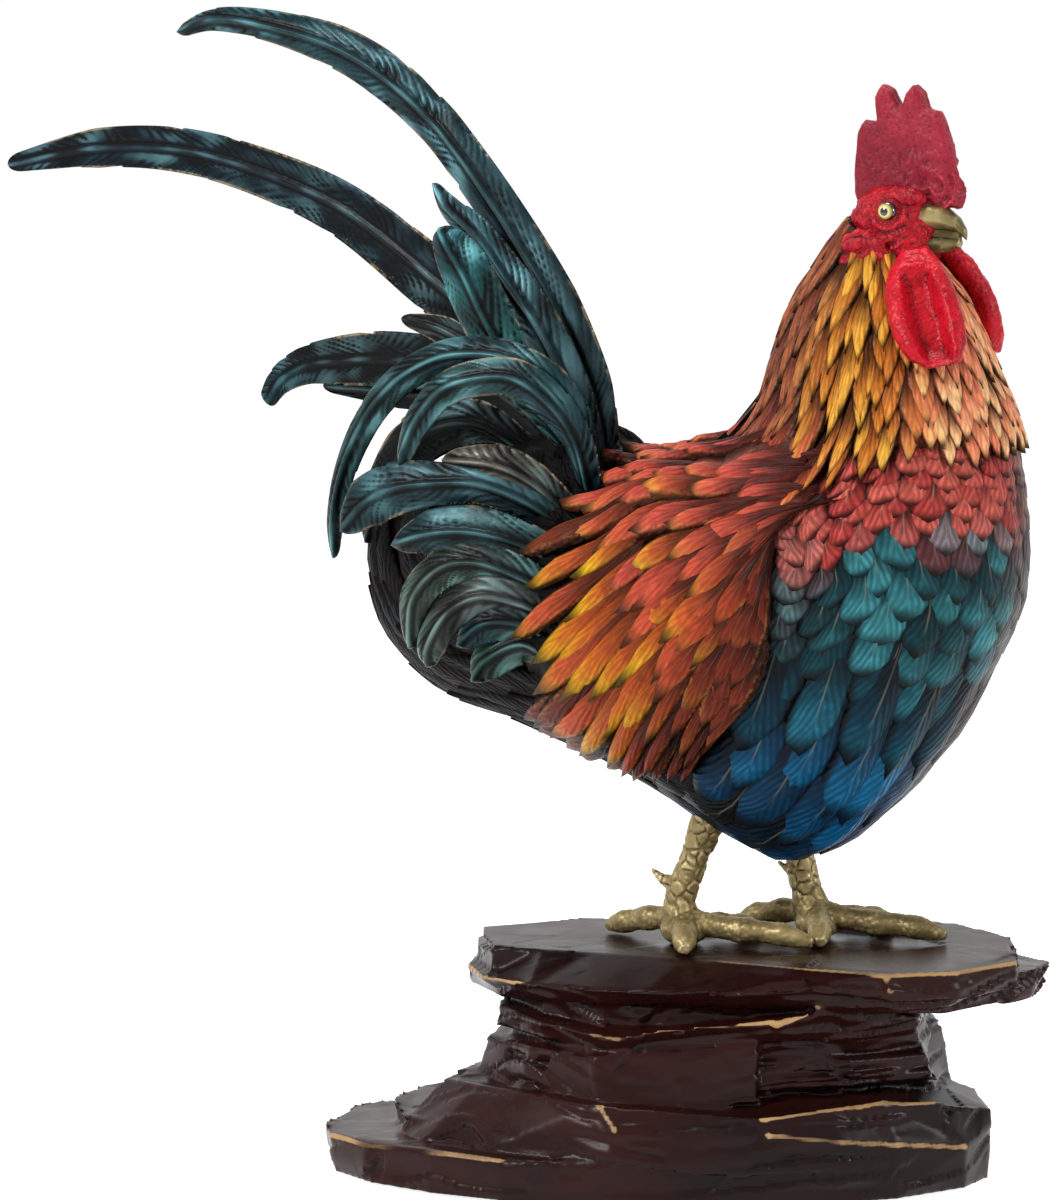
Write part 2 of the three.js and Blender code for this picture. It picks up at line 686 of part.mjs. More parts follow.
// A wattle: a drooping lobe with a dished outer face.
function wattle(side, grow = 0) {
  const stations = [
    { at: [82, 8, 280.5], half: 3.5 },
    { at: [83, 12, 275], half: 8 },
    { at: [85, 16, 268], half: 11 },
    { at: [87, 19, 260], half: 11.8 },
    { at: [89, 20, 252.5], half: 9 },
    { at: [90, 20, 248], half: 4 },
  ];
  const rings = stations.map(({ at: [x, y, z], half }) => {
    const reach = half + grow;
    const thick = 2.6 + grow;
    const spot = (across, out) =>
      new THREE.Vector3(
        x + across * 0.85 + out * 0.5,
        side * (y - across * 0.5 + out * 0.85),
        z + across * 0.2,
      );
    return [
      spot(-reach, 0),
      spot(-reach * 0.7, thick),
      spot(0, thick * 0.35),
      spot(reach * 0.7, thick),
      spot(reach, 0),
      spot(reach * 0.6, -thick),
      spot(-reach * 0.6, -thick),
    ];
  });
  return solid(skin(rings));
}
const earLobe = (side, grow) =>
  ellipsoid([68.5, side * 13.5, 279], [8 + grow, 4.5 + grow, 7 + grow], 20, 10);
const EYE = [74.5, 11.6, 291.5];
const eye = (side, grow = 0) => {
  const r = EYE_RADIUS + grow;
  return ellipsoid([EYE[0], side * EYE[1], EYE[2]], [r, r * 0.8, r], 0, 10);
};

const beakUpper = beakHalf(BEAK_UPPER);
const beakLower = beakHalf(BEAK_LOWER);
const beakRoom = [beakHalf(BEAK_UPPER, SEAT_GAP), beakHalf(BEAK_LOWER, SEAT_GAP)];
const eyeRoom = [eye(-1, SEAT_GAP), eye(1, SEAT_GAP)];
const head = largest(cut(headForm(0), capeRoom, beakRoom, eyeRoom));
const headRoom = headForm(SEAT_GAP);
const combSolid = largest(cut(comb(), headRoom, beakRoom, capeRoom));
const wattles = [-1, 1].map((side) => largest(cut(wattle(side), headRoom, beakRoom, capeRoom)));
const ears = [-1, 1].map((side) =>
  largest(cut(earLobe(side, 0), headRoom, capeRoom, wattle(side, SEAT_GAP))),
);

// The plinth: strata of chiselled rock. Each lists its corners as x, y and the height there, above
// an underside that is drawn in a little; a fourth number raises the underside at that corner.
// They are drawn on a plinth of the size below, and stretched to the real one.
const DRAWN = { length: 221, depth: 130, top: 70 };
const STRATA = [
  { low: PLINTH_FOOT, tuck: 0.99, corners: [[-108, -8, 13.5], [-106, -32, 12], [-96, -42, 10],
    [-62, -56, 9], [-46, -65, 8], [-24, -72, 9], [26, -72, 10], [62, -63, 8], [88, -42, 6],
    [95, -14, 8], [92, 22, 8], [60, 50, 9], [0, 58, 9], [-60, 52, 9], [-99, 22, 8]] },
  { low: 4, tuck: 0.98, corners: [[-82, -28, 14], [-30, -69, 13], [25, -70, 15.5], [60, -58, 12.5],
    [90, -40, 9], [94, -12, 12], [88, 26, 12], [40, 50, 14], [-40, 50, 14], [-84, 20, 14]] },
  { low: 9, tuck: 0.97, corners: [[-87, -6, 22], [-84, -26, 19], [-56, -48, 19], [-21, -65, 17],
    [25, -64, 20.5], [50, -56, 23.5], [68, -47, 25], [93, -26, 18.5], [94, 4, 15], [80, 36, 14],
    [20, 46, 22], [-50, 40, 22], [-80, 18, 19]] },
  { low: 14, tuck: 1.05, corners: [[-62, -6, 31], [-58, -30, 30], [-24, -57, 25], [25, -58, 27],
    [64, -42, 29], [80, -14, 33], [78, 12, 33], [52, 36, 32], [-6, 40, 31], [-50, 26, 31]] },
  { low: 20, tuck: 1.03, corners: [[-57, -8, 45], [-52, -30, 44], [-24, -53, 43], [25, -54, 43],
    [62, -39, 45], [79, -12, 46], [76, 12, 46], [50, 34, 46], [-6, 38, 45], [-46, 24, 45]] },
  { low: 41, tuck: 0.95, corners: [[-54, -8, 52], [-50, -30, 50], [-19, -60, 46], [25, -62, 50.5],
    [45, -60, 57], [74, -34, 56], [78, -4, 56], [60, 30, 54], [-10, 38, 54], [-46, 24, 54]] },
  { low: 51, tuck: 0.97, corners: [[-65, -8, 62], [-61, -26, 61.5], [-40, -44, 62], [-24, -55, 66],
    [12, -64, 68], [62, -67, 65.5], [107, -30, 64, 54], [113, -10, 63, 54],
    [86, 36, 63, 54], [30, 52, 63],
    [-30, 48, 63], [-58, 22, 63]] },
  { low: 58, tuck: 1, corners: [[66, -46, 68.5], [100, -26, 68.5], [104, -6, 67.8], [88, 18, 67.5],
    [60, 22, 68]] },
  { low: 58, tuck: 1, corners: [[-61, -4, DRAWN.top], [-58, -26, DRAWN.top], [-26, -51, DRAWN.top],
    [14, -57, DRAWN.top], [56, -54, DRAWN.top], [90, -30, DRAWN.top], [92, -6, DRAWN.top],
    [82, 16, DRAWN.top], [34, 26, DRAWN.top], [-30, 24, DRAWN.top], [-60, 12, DRAWN.top]] },
];
const onPlinth = ([x, y]) => [
  (x * PLINTH_LENGTH) / DRAWN.length,
  (y * PLINTH_DEPTH) / DRAWN.depth,
];
const heightOnPlinth = (z) => (z * PLINTH_TOP) / DRAWN.top;

function stratum({ low, tuck, corners }) {
  const foot = corners.map(([x, y, , under = low]) =>
    new THREE.Vector3(...onPlinth([x * tuck, y * tuck]), heightOnPlinth(under)));
  const edge = corners.map(([x, y, z]) =>
    new THREE.Vector3(...onPlinth([x, y]), heightOnPlinth(z)));
  return solid(skin([foot, edge]));
}

function prism(outline, low, high) {
  return solid(skin([low, high].map((z) => outline.map(([x, y]) => new THREE.Vector3(x, y, z)))));
}

function widened(outline, by) {
  return outline.map(([x, y]) => {
    const reach = Math.hypot(x, y);
    return [x * (1 + by / reach), y * (1 + by / reach)];
  });
}

const LOWER_HOLLOW = [[-64, -12], [-54, -36], [-20, -52], [40, -52], [70, -38], [72, 6], [50, 34],
  [-6, 40], [-52, 34]].map(onPlinth);
const UPPER_HOLLOW = [[-40, -10], [-34, -30], [-12, -44], [20, -46], [54, -32], [60, 2], [42, 26],
  [-4, 30], [-34, 20]].map(onPlinth);
const COVER_LOW = FELT_THICKNESS + SEAT_GAP;
const COVER_HIGH = COVER_LOW + COVER_THICKNESS;
const LEDGE = COVER_HIGH + SEAT_GAP;
const BOSS_FOOT = LEDGE;
const SCREW_SPOTS = [[-52, -24], [-34, 28], [52, 18], [48, -42]].map(onPlinth);
const coverOutline = widened(LOWER_HOLLOW, COVER_INSET);

const feetOnPlinth = FEET.map(({ sole: [x, y] }) => {
  const angle = THREE.MathUtils.degToRad(-BIRD_TURN);
  return [x * Math.cos(angle) - y * Math.sin(angle), x * Math.sin(angle) + y * Math.cos(angle)];
});
const HOLLOW_ROOF = PLINTH_TOP - PLINTH_ROOF;
const HOLLOW_STEP = 14;

const rock = cut(
  join(
    cut(
      join(STRATA.map(stratum)),
      prism(LOWER_HOLLOW, PLINTH_FOOT - 5, HOLLOW_STEP),
      prism(UPPER_HOLLOW, PLINTH_FOOT - 5, HOLLOW_ROOF),
      prism(widened(coverOutline, SEAT_GAP), PLINTH_FOOT - 5, LEDGE),
    ),
    SCREW_SPOTS.map(([x, y]) => pin(x, y, BOSS_FOOT, HOLLOW_STEP + 1, BOSS_RADIUS, 12)),
  ),
  SCREW_SPOTS.map(([x, y]) =>
    pin(x, y, BOSS_FOOT - 1, BOSS_FOOT + BOSS_HEIGHT, SCREW_RADIUS + SCREW_CLEARANCE, 12)),
  feetOnPlinth.map(([x, y]) =>
    pin(x, y, HOLLOW_ROOF - 1, PLINTH_TOP + 1, STUD_RADIUS + STUD_CLEARANCE)),
);

// A countersunk screw standing head down, its head's face at a height.
function coverScrew(x, y) {
  const headDepth = SCREW_HEAD_RADIUS - SCREW_RADIUS;
  const profile = [
    [0, 0],
    [SCREW_HEAD_RADIUS, 0],
    [SCREW_RADIUS, headDepth],
    [SCREW_RADIUS, SCREW_LENGTH - 2],
    [0.4, SCREW_LENGTH],
    [0, SCREW_LENGTH],
  ].map(([r, z]) => new THREE.Vector2(r, z));
  const geometry = new THREE.LatheGeometry(profile, 12);
  geometry.rotateX(Math.PI / 2);
  geometry.translate(x, y, COVER_LOW);
  return solid(geometry);
}

// The hole that such a screw needs in the cover.
function screwRoom(x, y) {
  const headDepth = SCREW_HEAD_RADIUS - SCREW_RADIUS;
  const clear = SCREW_CLEARANCE;
  const profile = [
    [0, -1],
    [SCREW_HEAD_RADIUS + clear, -1],
    [SCREW_HEAD_RADIUS + clear, clear],
    [SCREW_RADIUS + clear, headDepth + clear],
    [SCREW_RADIUS + clear, COVER_THICKNESS + 1],
    [0, COVER_THICKNESS + 1],
  ].map(([r, z]) => new THREE.Vector2(r, z));
  const geometry = new THREE.LatheGeometry(profile, 12);
  geometry.rotateX(Math.PI / 2);
  geometry.translate(x, y, COVER_LOW);
  return solid(geometry);
}

const cover = cut(
  prism(coverOutline, COVER_LOW, COVER_HIGH),
  SCREW_SPOTS.map(([x, y]) => screwRoom(x, y)),
);
const felt = prism(widened(coverOutline, -1), 0, FELT_THICKNESS);

const WASHER_TOP = HOLLOW_ROOF - SEAT_GAP;
const NUT_TOP = WASHER_TOP - WASHER_THICKNESS - SEAT_GAP;
const NUT_LOW = NUT_TOP - NUT_HEIGHT;
const stud = ([x, y]) =>
  pin(x, y, NUT_LOW - STUD_TAIL, PLINTH_TOP + SEAT_GAP + STUD_IN_LEG, STUD_RADIUS, 12);
const studHole = ([x, y], low, high) =>
  pin(x, y, low - 1, high + 1, STUD_RADIUS + STUD_CLEARANCE, 12);
const washer = ([x, y]) =>
  cut(
    pin(x, y, WASHER_TOP - WASHER_THICKNESS, WASHER_TOP, WASHER_RADIUS, 16),
    studHole([x, y], WASHER_TOP - WASHER_THICKNESS, WASHER_TOP),
  );
const nut = ([x, y]) =>
  cut(
    pin(x, y, NUT_LOW, NUT_TOP, NUT_WIDTH / Math.sqrt(3), 6),
    studHole([x, y], NUT_LOW, NUT_TOP),
  );

// Finishes
const finish = (color, roughness, metalness) =>
  new THREE.MeshStandardMaterial({ color, roughness, metalness });
const FINISH = {
  rock: finish("#3a1414", 0.35, 0.5),
  steel: finish("#9a9a96", 0.4, 0.9),
  board: finish("#5a4632", 0.8, 0),
  felt: finish("#1d1d1f", 0.95, 0),
  cape: finish("#c8702c", 0.5, 0.4),
  breast: finish("#135a6c", 0.45, 0.5),
  wing: finish("#b4502a", 0.5, 0.4),
  rump: finish("#1a1c22", 0.5, 0.5),
  tail: finish("#1f4a4c", 0.4, 0.6),
  skin: finish("#b01826", 0.45, 0.2),
  brass: finish("#a89560", 0.4, 0.8),
  eye: finish("#d8c060", 0.15, 0),
};

const figurine = new THREE.Group();
const plinthGroup = new THREE.Group();
const birdGroup = new THREE.Group();
birdGroup.rotation.z = THREE.MathUtils.degToRad(-BIRD_TURN);
birdGroup.position.z = PLINTH_TOP - GROUND;
figurine.add(plinthGroup, birdGroup);

function place(group, name, shape, material) {
  const mesh = new THREE.Mesh(geometryOf(shape), material);
  mesh.name = name;
  group.add(mesh);
}

place(plinthGroup, "rock_plinth", rock, FINISH.rock);
place(plinthGroup, "plinth_cover", cover, FINISH.board);
place(plinthGroup, "felt_sheet", felt, FINISH.felt);
SCREW_SPOTS.forEach(([x, y], i) =>
  place(plinthGroup, `cover_screw_${i + 1}`, coverScrew(x, y), FINISH.steel));
FEET.forEach(({ side }, i) => {
  place(plinthGroup, `leg_stud_${side}`, stud(feetOnPlinth[i]), FINISH.steel);
  place(plinthGroup, `leg_washer_${side}`, washer(feetOnPlinth[i]), FINISH.steel);
  place(plinthGroup, `leg_nut_${side}`, nut(feetOnPlinth[i]), FINISH.steel);
  place(birdGroup, `leg_${side}`, legs[i], FINISH.brass);
});

place(birdGroup, "neck_cape", neck, FINISH.cape);
place(birdGroup, "breast_casting", breast, FINISH.breast);
place(birdGroup, "rump_casting", rump, FINISH.rump);
place(birdGroup, "wing_right", wings.right, FINISH.wing);
place(birdGroup, "wing_left", wings.left, FINISH.wing);
for (const [name, shape] of plumeNodes) place(birdGroup, name, shape, FINISH.tail);

place(birdGroup, "head", head, FINISH.skin);
place(birdGroup, "comb", combSolid, FINISH.skin);
place(birdGroup, "beak_upper", beakUpper, FINISH.brass);
place(birdGroup, "beak_lower", beakLower, FINISH.brass);
["right", "left"].forEach((side, i) => {
  place(birdGroup, `wattle_${side}`, wattles[i], FINISH.skin);
  place(birdGroup, `ear_lobe_${side}`, ears[i], FINISH.skin);
  place(birdGroup, `eye_${side}`, eye(i ? 1 : -1), FINISH.eye);
});

export default figurine;
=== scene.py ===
"""Looks of a painted copper rooster on a rock plinth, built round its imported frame.

The bird is worked out in millimetres in its own frame, looking along +X, and turned towards the
front of the plinth at the end. Feathers are small closed leaves laid in rows on the body's skin,
the tail plumes are blades swept along their quills, and the plinth is carved from its casting.
"""

from __future__ import annotations

import logging
import math
import random
from dataclasses import dataclass, replace
from enum import Enum
from typing import Callable, Sequence

import bmesh
import bpy
import numpy as np
from bmesh.types import BMesh, BMVert
from bpy.types import Material, NodeSocket, Object
from mathutils import Matrix, Vector, noise
from mathutils.bvhtree import BVHTree

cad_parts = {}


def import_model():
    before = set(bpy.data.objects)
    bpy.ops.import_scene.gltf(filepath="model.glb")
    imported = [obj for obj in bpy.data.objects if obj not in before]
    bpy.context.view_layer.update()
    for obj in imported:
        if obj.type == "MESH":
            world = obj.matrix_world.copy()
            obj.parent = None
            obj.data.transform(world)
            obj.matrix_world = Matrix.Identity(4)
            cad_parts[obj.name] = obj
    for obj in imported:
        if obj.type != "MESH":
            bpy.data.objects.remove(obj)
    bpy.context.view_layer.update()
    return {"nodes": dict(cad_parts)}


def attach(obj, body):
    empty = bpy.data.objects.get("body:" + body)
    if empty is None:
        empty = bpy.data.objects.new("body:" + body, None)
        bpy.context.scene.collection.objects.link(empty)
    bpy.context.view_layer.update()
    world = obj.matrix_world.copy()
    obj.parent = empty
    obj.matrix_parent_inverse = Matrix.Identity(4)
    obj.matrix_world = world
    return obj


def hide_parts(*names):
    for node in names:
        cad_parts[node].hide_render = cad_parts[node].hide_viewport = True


log = logging.getLogger("rooster")

MM = 0.001
BIRD_TURN = math.radians(-30)
TO_WORLD = Matrix.Rotation(BIRD_TURN, 4, "Z") @ Matrix.Scale(MM, 4)
WELD = 1e-4

Point = tuple[float, float, float]
Keys = Sequence[tuple[float, float]]
Place = Callable[[float, float, float], Vector]


class Side(Enum):
    """Which side of the bird a piece is on, as the sign of its Y."""

    RIGHT = -1
    LEFT = 1


class Slot(Enum):
    """The record's material slots."""

    PLINTH = "plinth_paint"
    BOARD = "cover_board"
    FELT = "felt"
    STEEL = "steel"
    BRASS = "brass"
    HACKLE = "hackle_paint"
    BREAST = "breast_paint"
    RUMP = "rump_paint"
    WING = "wing_paint"
    TAIL = "tail_paint"
    COMB = "comb_paint"
    EYE = "eye_enamel"


def paint(code: str) -> Vector:
    """The linear colour of an sRGB code such as "8a2f22"."""
    channels = [int(code[i : i + 2], 16) / 255 for i in (0, 2, 4)]
    return Vector([c / 12.92 if c <= 0.04045 else ((c + 0.055) / 1.055) ** 2.4 for c in channels])


def lerp(low: float, high: float, share: float) -> float:
    """The value at a share of the way from low to high."""
    return low + (high - low) * share


def smooth(low: float, high: float, value: float) -> float:
    """A soft step from 0 at low to 1 at high."""
    share = min(max((value - low) / (high - low), 0.0), 1.0)
    return share * share * (3 - 2 * share)


def between(keys: Keys, at: float) -> float:
    """The value that pairs of a place and a number give at a place.

    Args:
        keys: Pairs in rising order of place.
        at: The place to read.

    Returns:
        The number there, held level past both ends.
    """
    if at <= keys[0][0]:
        return keys[0][1]
    for (low, a), (high, b) in zip(keys, keys[1:]):
        if at <= high:
            return lerp(a, b, (at - low) / (high - low))
    return keys[-1][1]


def keyed(keys: Sequence[float], share: float) -> float:
    """The value of evenly spaced keys at a share from 0 to 1.

    Args:
        keys: The values, from the first end to the last.
        share: How far along.

    Returns:
        The value there.
    """
    at = min(max(share, 0.0), 1.0) * (len(keys) - 1)
    low = min(int(at), len(keys) - 2)
    return lerp(keys[low], keys[low + 1], at - low)


class Curve:
    """A smooth curve through points."""

    def __init__(self, points: Sequence[Sequence[float]]) -> None:
        """Keeps the points as vectors."""
        self.points = [Vector(p) for p in points]

    def at(self, share: float) -> Vector:
        """The point at a share of the spans from 0 to 1.

        Args:
            share: How far along, counted in spans.

        Returns:
            The point on the curve.
        """
        points = self.points
        place = min(max(share, 0.0), 1.0) * (len(points) - 1)
        i = min(int(place), len(points) - 2)
        t = place - i
        here, there = points[i], points[i + 1]
        before = points[i - 1] if i else here * 2 - there
        after = points[i + 2] if i + 2 < len(points) else there * 2 - here
        out, into = (there - before) * 0.5, (after - here) * 0.5
        return (
            here * (2 * t**3 - 3 * t**2 + 1)
            + out * (t**3 - 2 * t**2 + t)
            + there * (3 * t**2 - 2 * t**3)
            + into * (t**3 - t**2)
        )

    def heading(self, share: float) -> Vector:
        """The curve's direction at a share."""
        step = 0.002
        return (self.at(share + step) - self.at(share - step)).normalized()

    def length(self) -> float:
        """The curve's length, measured in 60 short spans."""
        places = [self.at(i / 60) for i in range(61)]
        return sum((b - a).length for a, b in zip(places, places[1:]))


class Layer(Enum):
    """The vertex layers that the finishes read."""

    TINT = "tint"
    VANE = "vane"
    BARB = "barb"
    STAND = "stand"


def new_shape() -> BMesh:
    """An empty mesh with the layers that feathers and plumes carry.

    Returns:
        The mesh.
    """
    shape = bmesh.new()
    shape.verts.layers.float_color.new(Layer.TINT.value)
    shape.verts.layers.float_vector.new(Layer.VANE.value)
    shape.verts.layers.float_vector.new(Layer.BARB.value)
    return shape


class Stamp:
    """Writes the paint layers of a mesh's vertices."""

    def __init__(self, shape: BMesh) -> None:
        """Finds the mesh's layers.

        Args:
            shape: The mesh that it writes to.
        """
        self.tint = shape.verts.layers.float_color[Layer.TINT.value]
        self.vane = shape.verts.layers.float_vector[Layer.VANE.value]
        self.barb = shape.verts.layers.float_vector[Layer.BARB.value]

    def mark(self, vertex: BMVert, tint: Vector, vane: Point, barb: Point) -> None:
        """Writes one vertex.

        Args:
            vertex: The vertex.
            tint: Its linear colour.
            vane: Share along, share across and height of the relief.
            barb: Millimetres along and across, and a number that differs from feather to feather.
        """
        vertex[self.tint] = (*tint, 1.0)
        vertex[self.vane] = vane
        vertex[self.barb] = barb


def grid(shape: BMesh, along: int, across: int) -> list[BMVert]:
    """Adds a flat grid whose corners are at 0 and 1.

    Args:
        shape: The mesh that gets it.
        along: Faces along X.
        across: Faces along Y.

    Returns:
        The new vertices.
    """
    made = bmesh.ops.create_grid(
        shape,
        x_segments=along,
        y_segments=across,
        size=0.5,
        matrix=Matrix.Translation((0.5, 0.5, 0)),
    )
    return made["verts"]


def close(shape: BMesh) -> None:
    """Welds a mesh's seams, fills its open ends and turns its faces outwards.

    Args:
        shape: The mesh.
    """
    bmesh.ops.remove_doubles(shape, verts=shape.verts, dist=WELD)
    rim = [e for e in shape.edges if e.is_boundary]
    bmesh.ops.holes_fill(shape, edges=rim, sides=0)
    bmesh.ops.recalc_face_normals(shape, faces=shape.faces)


def to_object(shape: BMesh, name: str, turn: Matrix = TO_WORLD) -> Object:
    """Turns a finished mesh into a smooth object at the origin.

    Args:
        shape: The mesh, which is freed.
        name: The object's name.
        turn: The matrix from the mesh's frame to the world.

    Returns:
        The object, linked to the scene.
    """
    bmesh.ops.transform(shape, matrix=turn, verts=shape.verts)
    mesh = bpy.data.meshes.new(name)
    shape.to_mesh(mesh)
    shape.free()
    mesh.shade_smooth()
    thing = bpy.data.objects.new(name, mesh)
    bpy.context.scene.collection.objects.link(thing)
    return thing


def apply_modifiers(thing: Object) -> None:
    """Bakes an object's modifiers into its mesh.

    Args:
        thing: The object.
    """
    bpy.context.view_layer.update()
    graph = bpy.context.evaluated_depsgraph_get()
    mesh = bpy.data.meshes.new_from_object(thing.evaluated_get(graph))
    thing.modifiers.clear()
    thing.data = mesh


def fuse(thing: Object, voxel: float, rounds: int) -> None:
    """Melts an object's overlapping parts into one smooth skin.

    Args:
        thing: The object.
        voxel: The skin's grain, in millimetres.
        rounds: How often the skin is smoothed.
    """
    melt = thing.modifiers.new("melt", "REMESH")
    melt.mode = "VOXEL"
    melt.voxel_size = voxel * MM
    ease = thing.modifiers.new("ease", "SMOOTH")
    ease.iterations = rounds
    apply_modifiers(thing)
    thing.data.shade_smooth()


def relief(thing: Object, height: Callable[[Vector, Vector], float]) -> None:
    """Moves an object's vertices along their normals.

    Args:
        thing: The object, in metres.
        height: Gives the move in millimetres from a place in millimetres and its normal.
    """
    normals = [Vector(v.normal) for v in thing.data.vertices]
    for vertex, normal in zip(thing.data.vertices, normals):
        vertex.co += normal * height(vertex.co / MM, normal) * MM
    thing.data.update()


def crests(thing: Object) -> np.ndarray:
    """How far each vertex of a mesh stands out from its neighbours, in millimetres.

    Args:
        thing: The object, in metres.

    Returns:
        One number for each vertex, above zero on ridges and below it in grooves.
    """
    mesh = thing.data
    count = len(mesh.vertices)
    places = np.empty(count * 3)
    normals = np.empty(count * 3)
    ends = np.empty(len(mesh.edges) * 2, dtype=np.int64)
    mesh.vertices.foreach_get("co", places)
    mesh.vertices.foreach_get("normal", normals)
    mesh.edges.foreach_get("vertices", ends)
    places, normals = places.reshape(-1, 3) / MM, normals.reshape(-1, 3)
    first, last = ends[::2], ends[1::2]
    total = np.zeros((count, 3))
    links = np.maximum(np.bincount(first, minlength=count) + np.bincount(last, minlength=count), 1)
    np.add.at(total, first, places[last])
    np.add.at(total, last, places[first])
    stand = ((places - total / links[:, None]) * normals).sum(1)
    around = np.bincount(first, stand[last], count) + np.bincount(last, stand[first], count)
    return (stand + around / links) / 2


def write_stand(thing: Object, values: np.ndarray) -> None:
    """Keeps one number for each vertex, which the cast paints and the enamel read."""
    layer = thing.data.attributes.new(Layer.STAND.value, "FLOAT", "POINT")
    layer.data.foreach_set("value", values.astype(np.float32))


def carve(
    thing: Object, voxel: float, rounds: int, height: Callable[[Vector, Vector], float]
) -> Object:
    """Melts a piece into one skin, cuts its relief and keeps its crests for the paint.

    Args:
        thing: The object, in metres.
        voxel: The skin's grain, in millimetres.
        rounds: How often the skin is smoothed.
        height: Gives the move in millimetres from a place in millimetres and its normal.

    Returns:
        The same object.
    """
    fuse(thing, voxel, rounds)
    relief(thing, height)
    write_stand(thing, crests(thing))
    return thing


# The bird's skin

STATIONS = (
    ((59, 289), (82, 277), 13),
    ((50, 277), (92, 265), 19),
    ((42, 264), (98, 252), 24),
    ((37, 250), (104, 238), 30),
    ((33, 236), (108, 225), 35),
    ((24, 223), (110, 210), 42),
    ((11, 217), (111, 193), 48),
    ((3, 214), (109, 174), 51),
    ((-3, 213), (99, 153), 53),
    ((-8, 212), (85, 132), 53),
    ((-12, 212), (65, 110), 51),
    ((-15, 212), (42, 97), 48),
    ((-18, 213), (18, 106), 45),
    ((-21, 213), (-6, 118), 43),
    ((-23, 214), (-29, 127), 40),
    ((-26, 215), (-54, 135), 37),
    ((-29, 217), (-78, 141), 33),
    ((-32, 219), (-98, 156), 27),
    ((-35, 221), (-107, 179), 20),
    ((-39, 222), (-103, 200), 12),
)
CAPE_HEM = ((0, 4.1), (60, 4.15), (78, 4.8), (95, 5.9), (115, 6.1), (180, 6.1))
WAIST = 12.7
BREAST_SIDE = (
    (4, 112), (5.5, 104), (6.2, 97), (7, 86), (8.8, 74), (10.3, 62), (11.7, 52), (12.9, 46),
)


class Skin:
    """The body's skin, as rings from the throat round to the vent."""

    def __init__(self) -> None:
        """Draws the back line and the breast line."""
        self.back = Curve([(b[0], half, b[1]) for b, _, half in STATIONS])
        self.front = Curve([(f[0], half, f[1]) for _, f, half in STATIONS])

    def point(self, station: float, turn: float, lift: float = 0.0) -> Vector:
        """A point on or above the skin.

        Args:
            station: Which ring, from 0 at the throat.
            turn: Degrees round it, 0 on the breast line, below zero on the right side.
            lift: Height above the skin, in millimetres.

        Returns:
            The point in the bird's frame.
        """
        share = station / (len(STATIONS) - 1)
        back, front = self.back.at(share), self.front.at(share)
        half = front.y
        back.y = front.y = 0
        reach = (front - back) * 0.5
        angle = math.radians(turn)
        point = (back + front) * 0.5 + reach * (math.cos(angle) * (1 + lift / reach.length))
        point.y += math.sin(angle) * (half + lift)
        return point


SKIN = Skin()


def hem_at(turn: float) -> float:
    """The station where the cape ends at a turn."""
    return between(CAPE_HEM, abs(turn))


# Feathers


@dataclass(frozen=True)
class Leaf:
    """The form of one feather, a closed leaf with a crowned top and a thick rim."""

    root: float  # half width at the root, as a share
    belly: float  # share along where it is widest
    dull: float  # how blunt the tip is, from 0 for a point to 1 for a round end
    crown: float = 0.9  # height of the middle over the edges
    rise: float = 2.2  # how much higher the tip lies than the root
    sink: float = 0.9  # how deep the root lies below the patch
    rim: float = 1.3  # thickness of the rim
    steps: int = 8
    columns: int = 6
    narrow: float = 0.82  # width of the underside, as a share of the top's
    tuck: float = 0.03  # how far the underside's tip draws back, as a share along
    # Painted shade: the underside's tint is darkened by this share.
    shade: float = 0.3  # how dark the underside's tint is

    def width(self, share: float) -> float:
        """The half width of the leaf.

        Args:
            share: How far along it.

        Returns:
            The half width there, as a share of the widest.
        """
        if share < self.belly:
            return lerp(self.root, 1.0, smooth(0.0, self.belly, share))
        past = (share - self.belly) / (1 - self.belly)
        return max((1 - past * past) ** lerp(1.25, 0.5, self.dull), 0.06)

    def template(self) -> bpy.types.Mesh:
        """A leaf from 0 to 1 along X and -1 to 1 across, with its underside at -1.

        Returns:
            A mesh to be copied for each feather.
        """
        shape = new_shape()
        grid(shape, self.steps, self.columns)
        for vertex in shape.verts:
            across = vertex.co.y * 2 - 1
            vertex.co.y = math.copysign(abs(across) ** 0.8, across)
            vertex.co.x = 1 - (1 - vertex.co.x) ** 1.6
        rim = [e for e in shape.edges if e.is_boundary]
        skirt = bmesh.ops.extrude_edge_only(shape, edges=rim)["geom"]
        low = [v for v in skirt if isinstance(v, BMVert)]
        bmesh.ops.translate(shape, verts=low, vec=(0, 0, -1))
        edge = [e for e in shape.edges if e.is_boundary]
        bmesh.ops.contextual_create(shape, geom=edge)
        bmesh.ops.recalc_face_normals(shape, faces=shape.faces)
        mesh = bpy.data.meshes.new("leaf")
        shape.to_mesh(mesh)
        shape.free()
        return mesh


@dataclass(frozen=True)
class Row:
    """One row of feathers on a patch."""

    tip: float  # share along the patch where its tips lie
    reach: float  # length of its feathers, as a share along the patch
    width: float  # width of a feather, in millimetres
    start: float = 0.0  # share across where the row begins
    end: float = 1.0
    lift: float = 0.0


@dataclass(frozen=True)
class Feather:
    """One feather of a row, with what sets it apart from its neighbours."""

    tip: float  # share along the patch where its tip lies
    reach: float  # its length, as a share along the patch
    half: float  # half its width, in millimetres
    across: float  # share across the patch where it stands
    lean: float  # how far its tip swings aside, in half widths
    lift: float  # its height over the patch
    mood: float  # from 0 to 1, for its paint


Ramp = tuple[Vector, Vector, Vector]


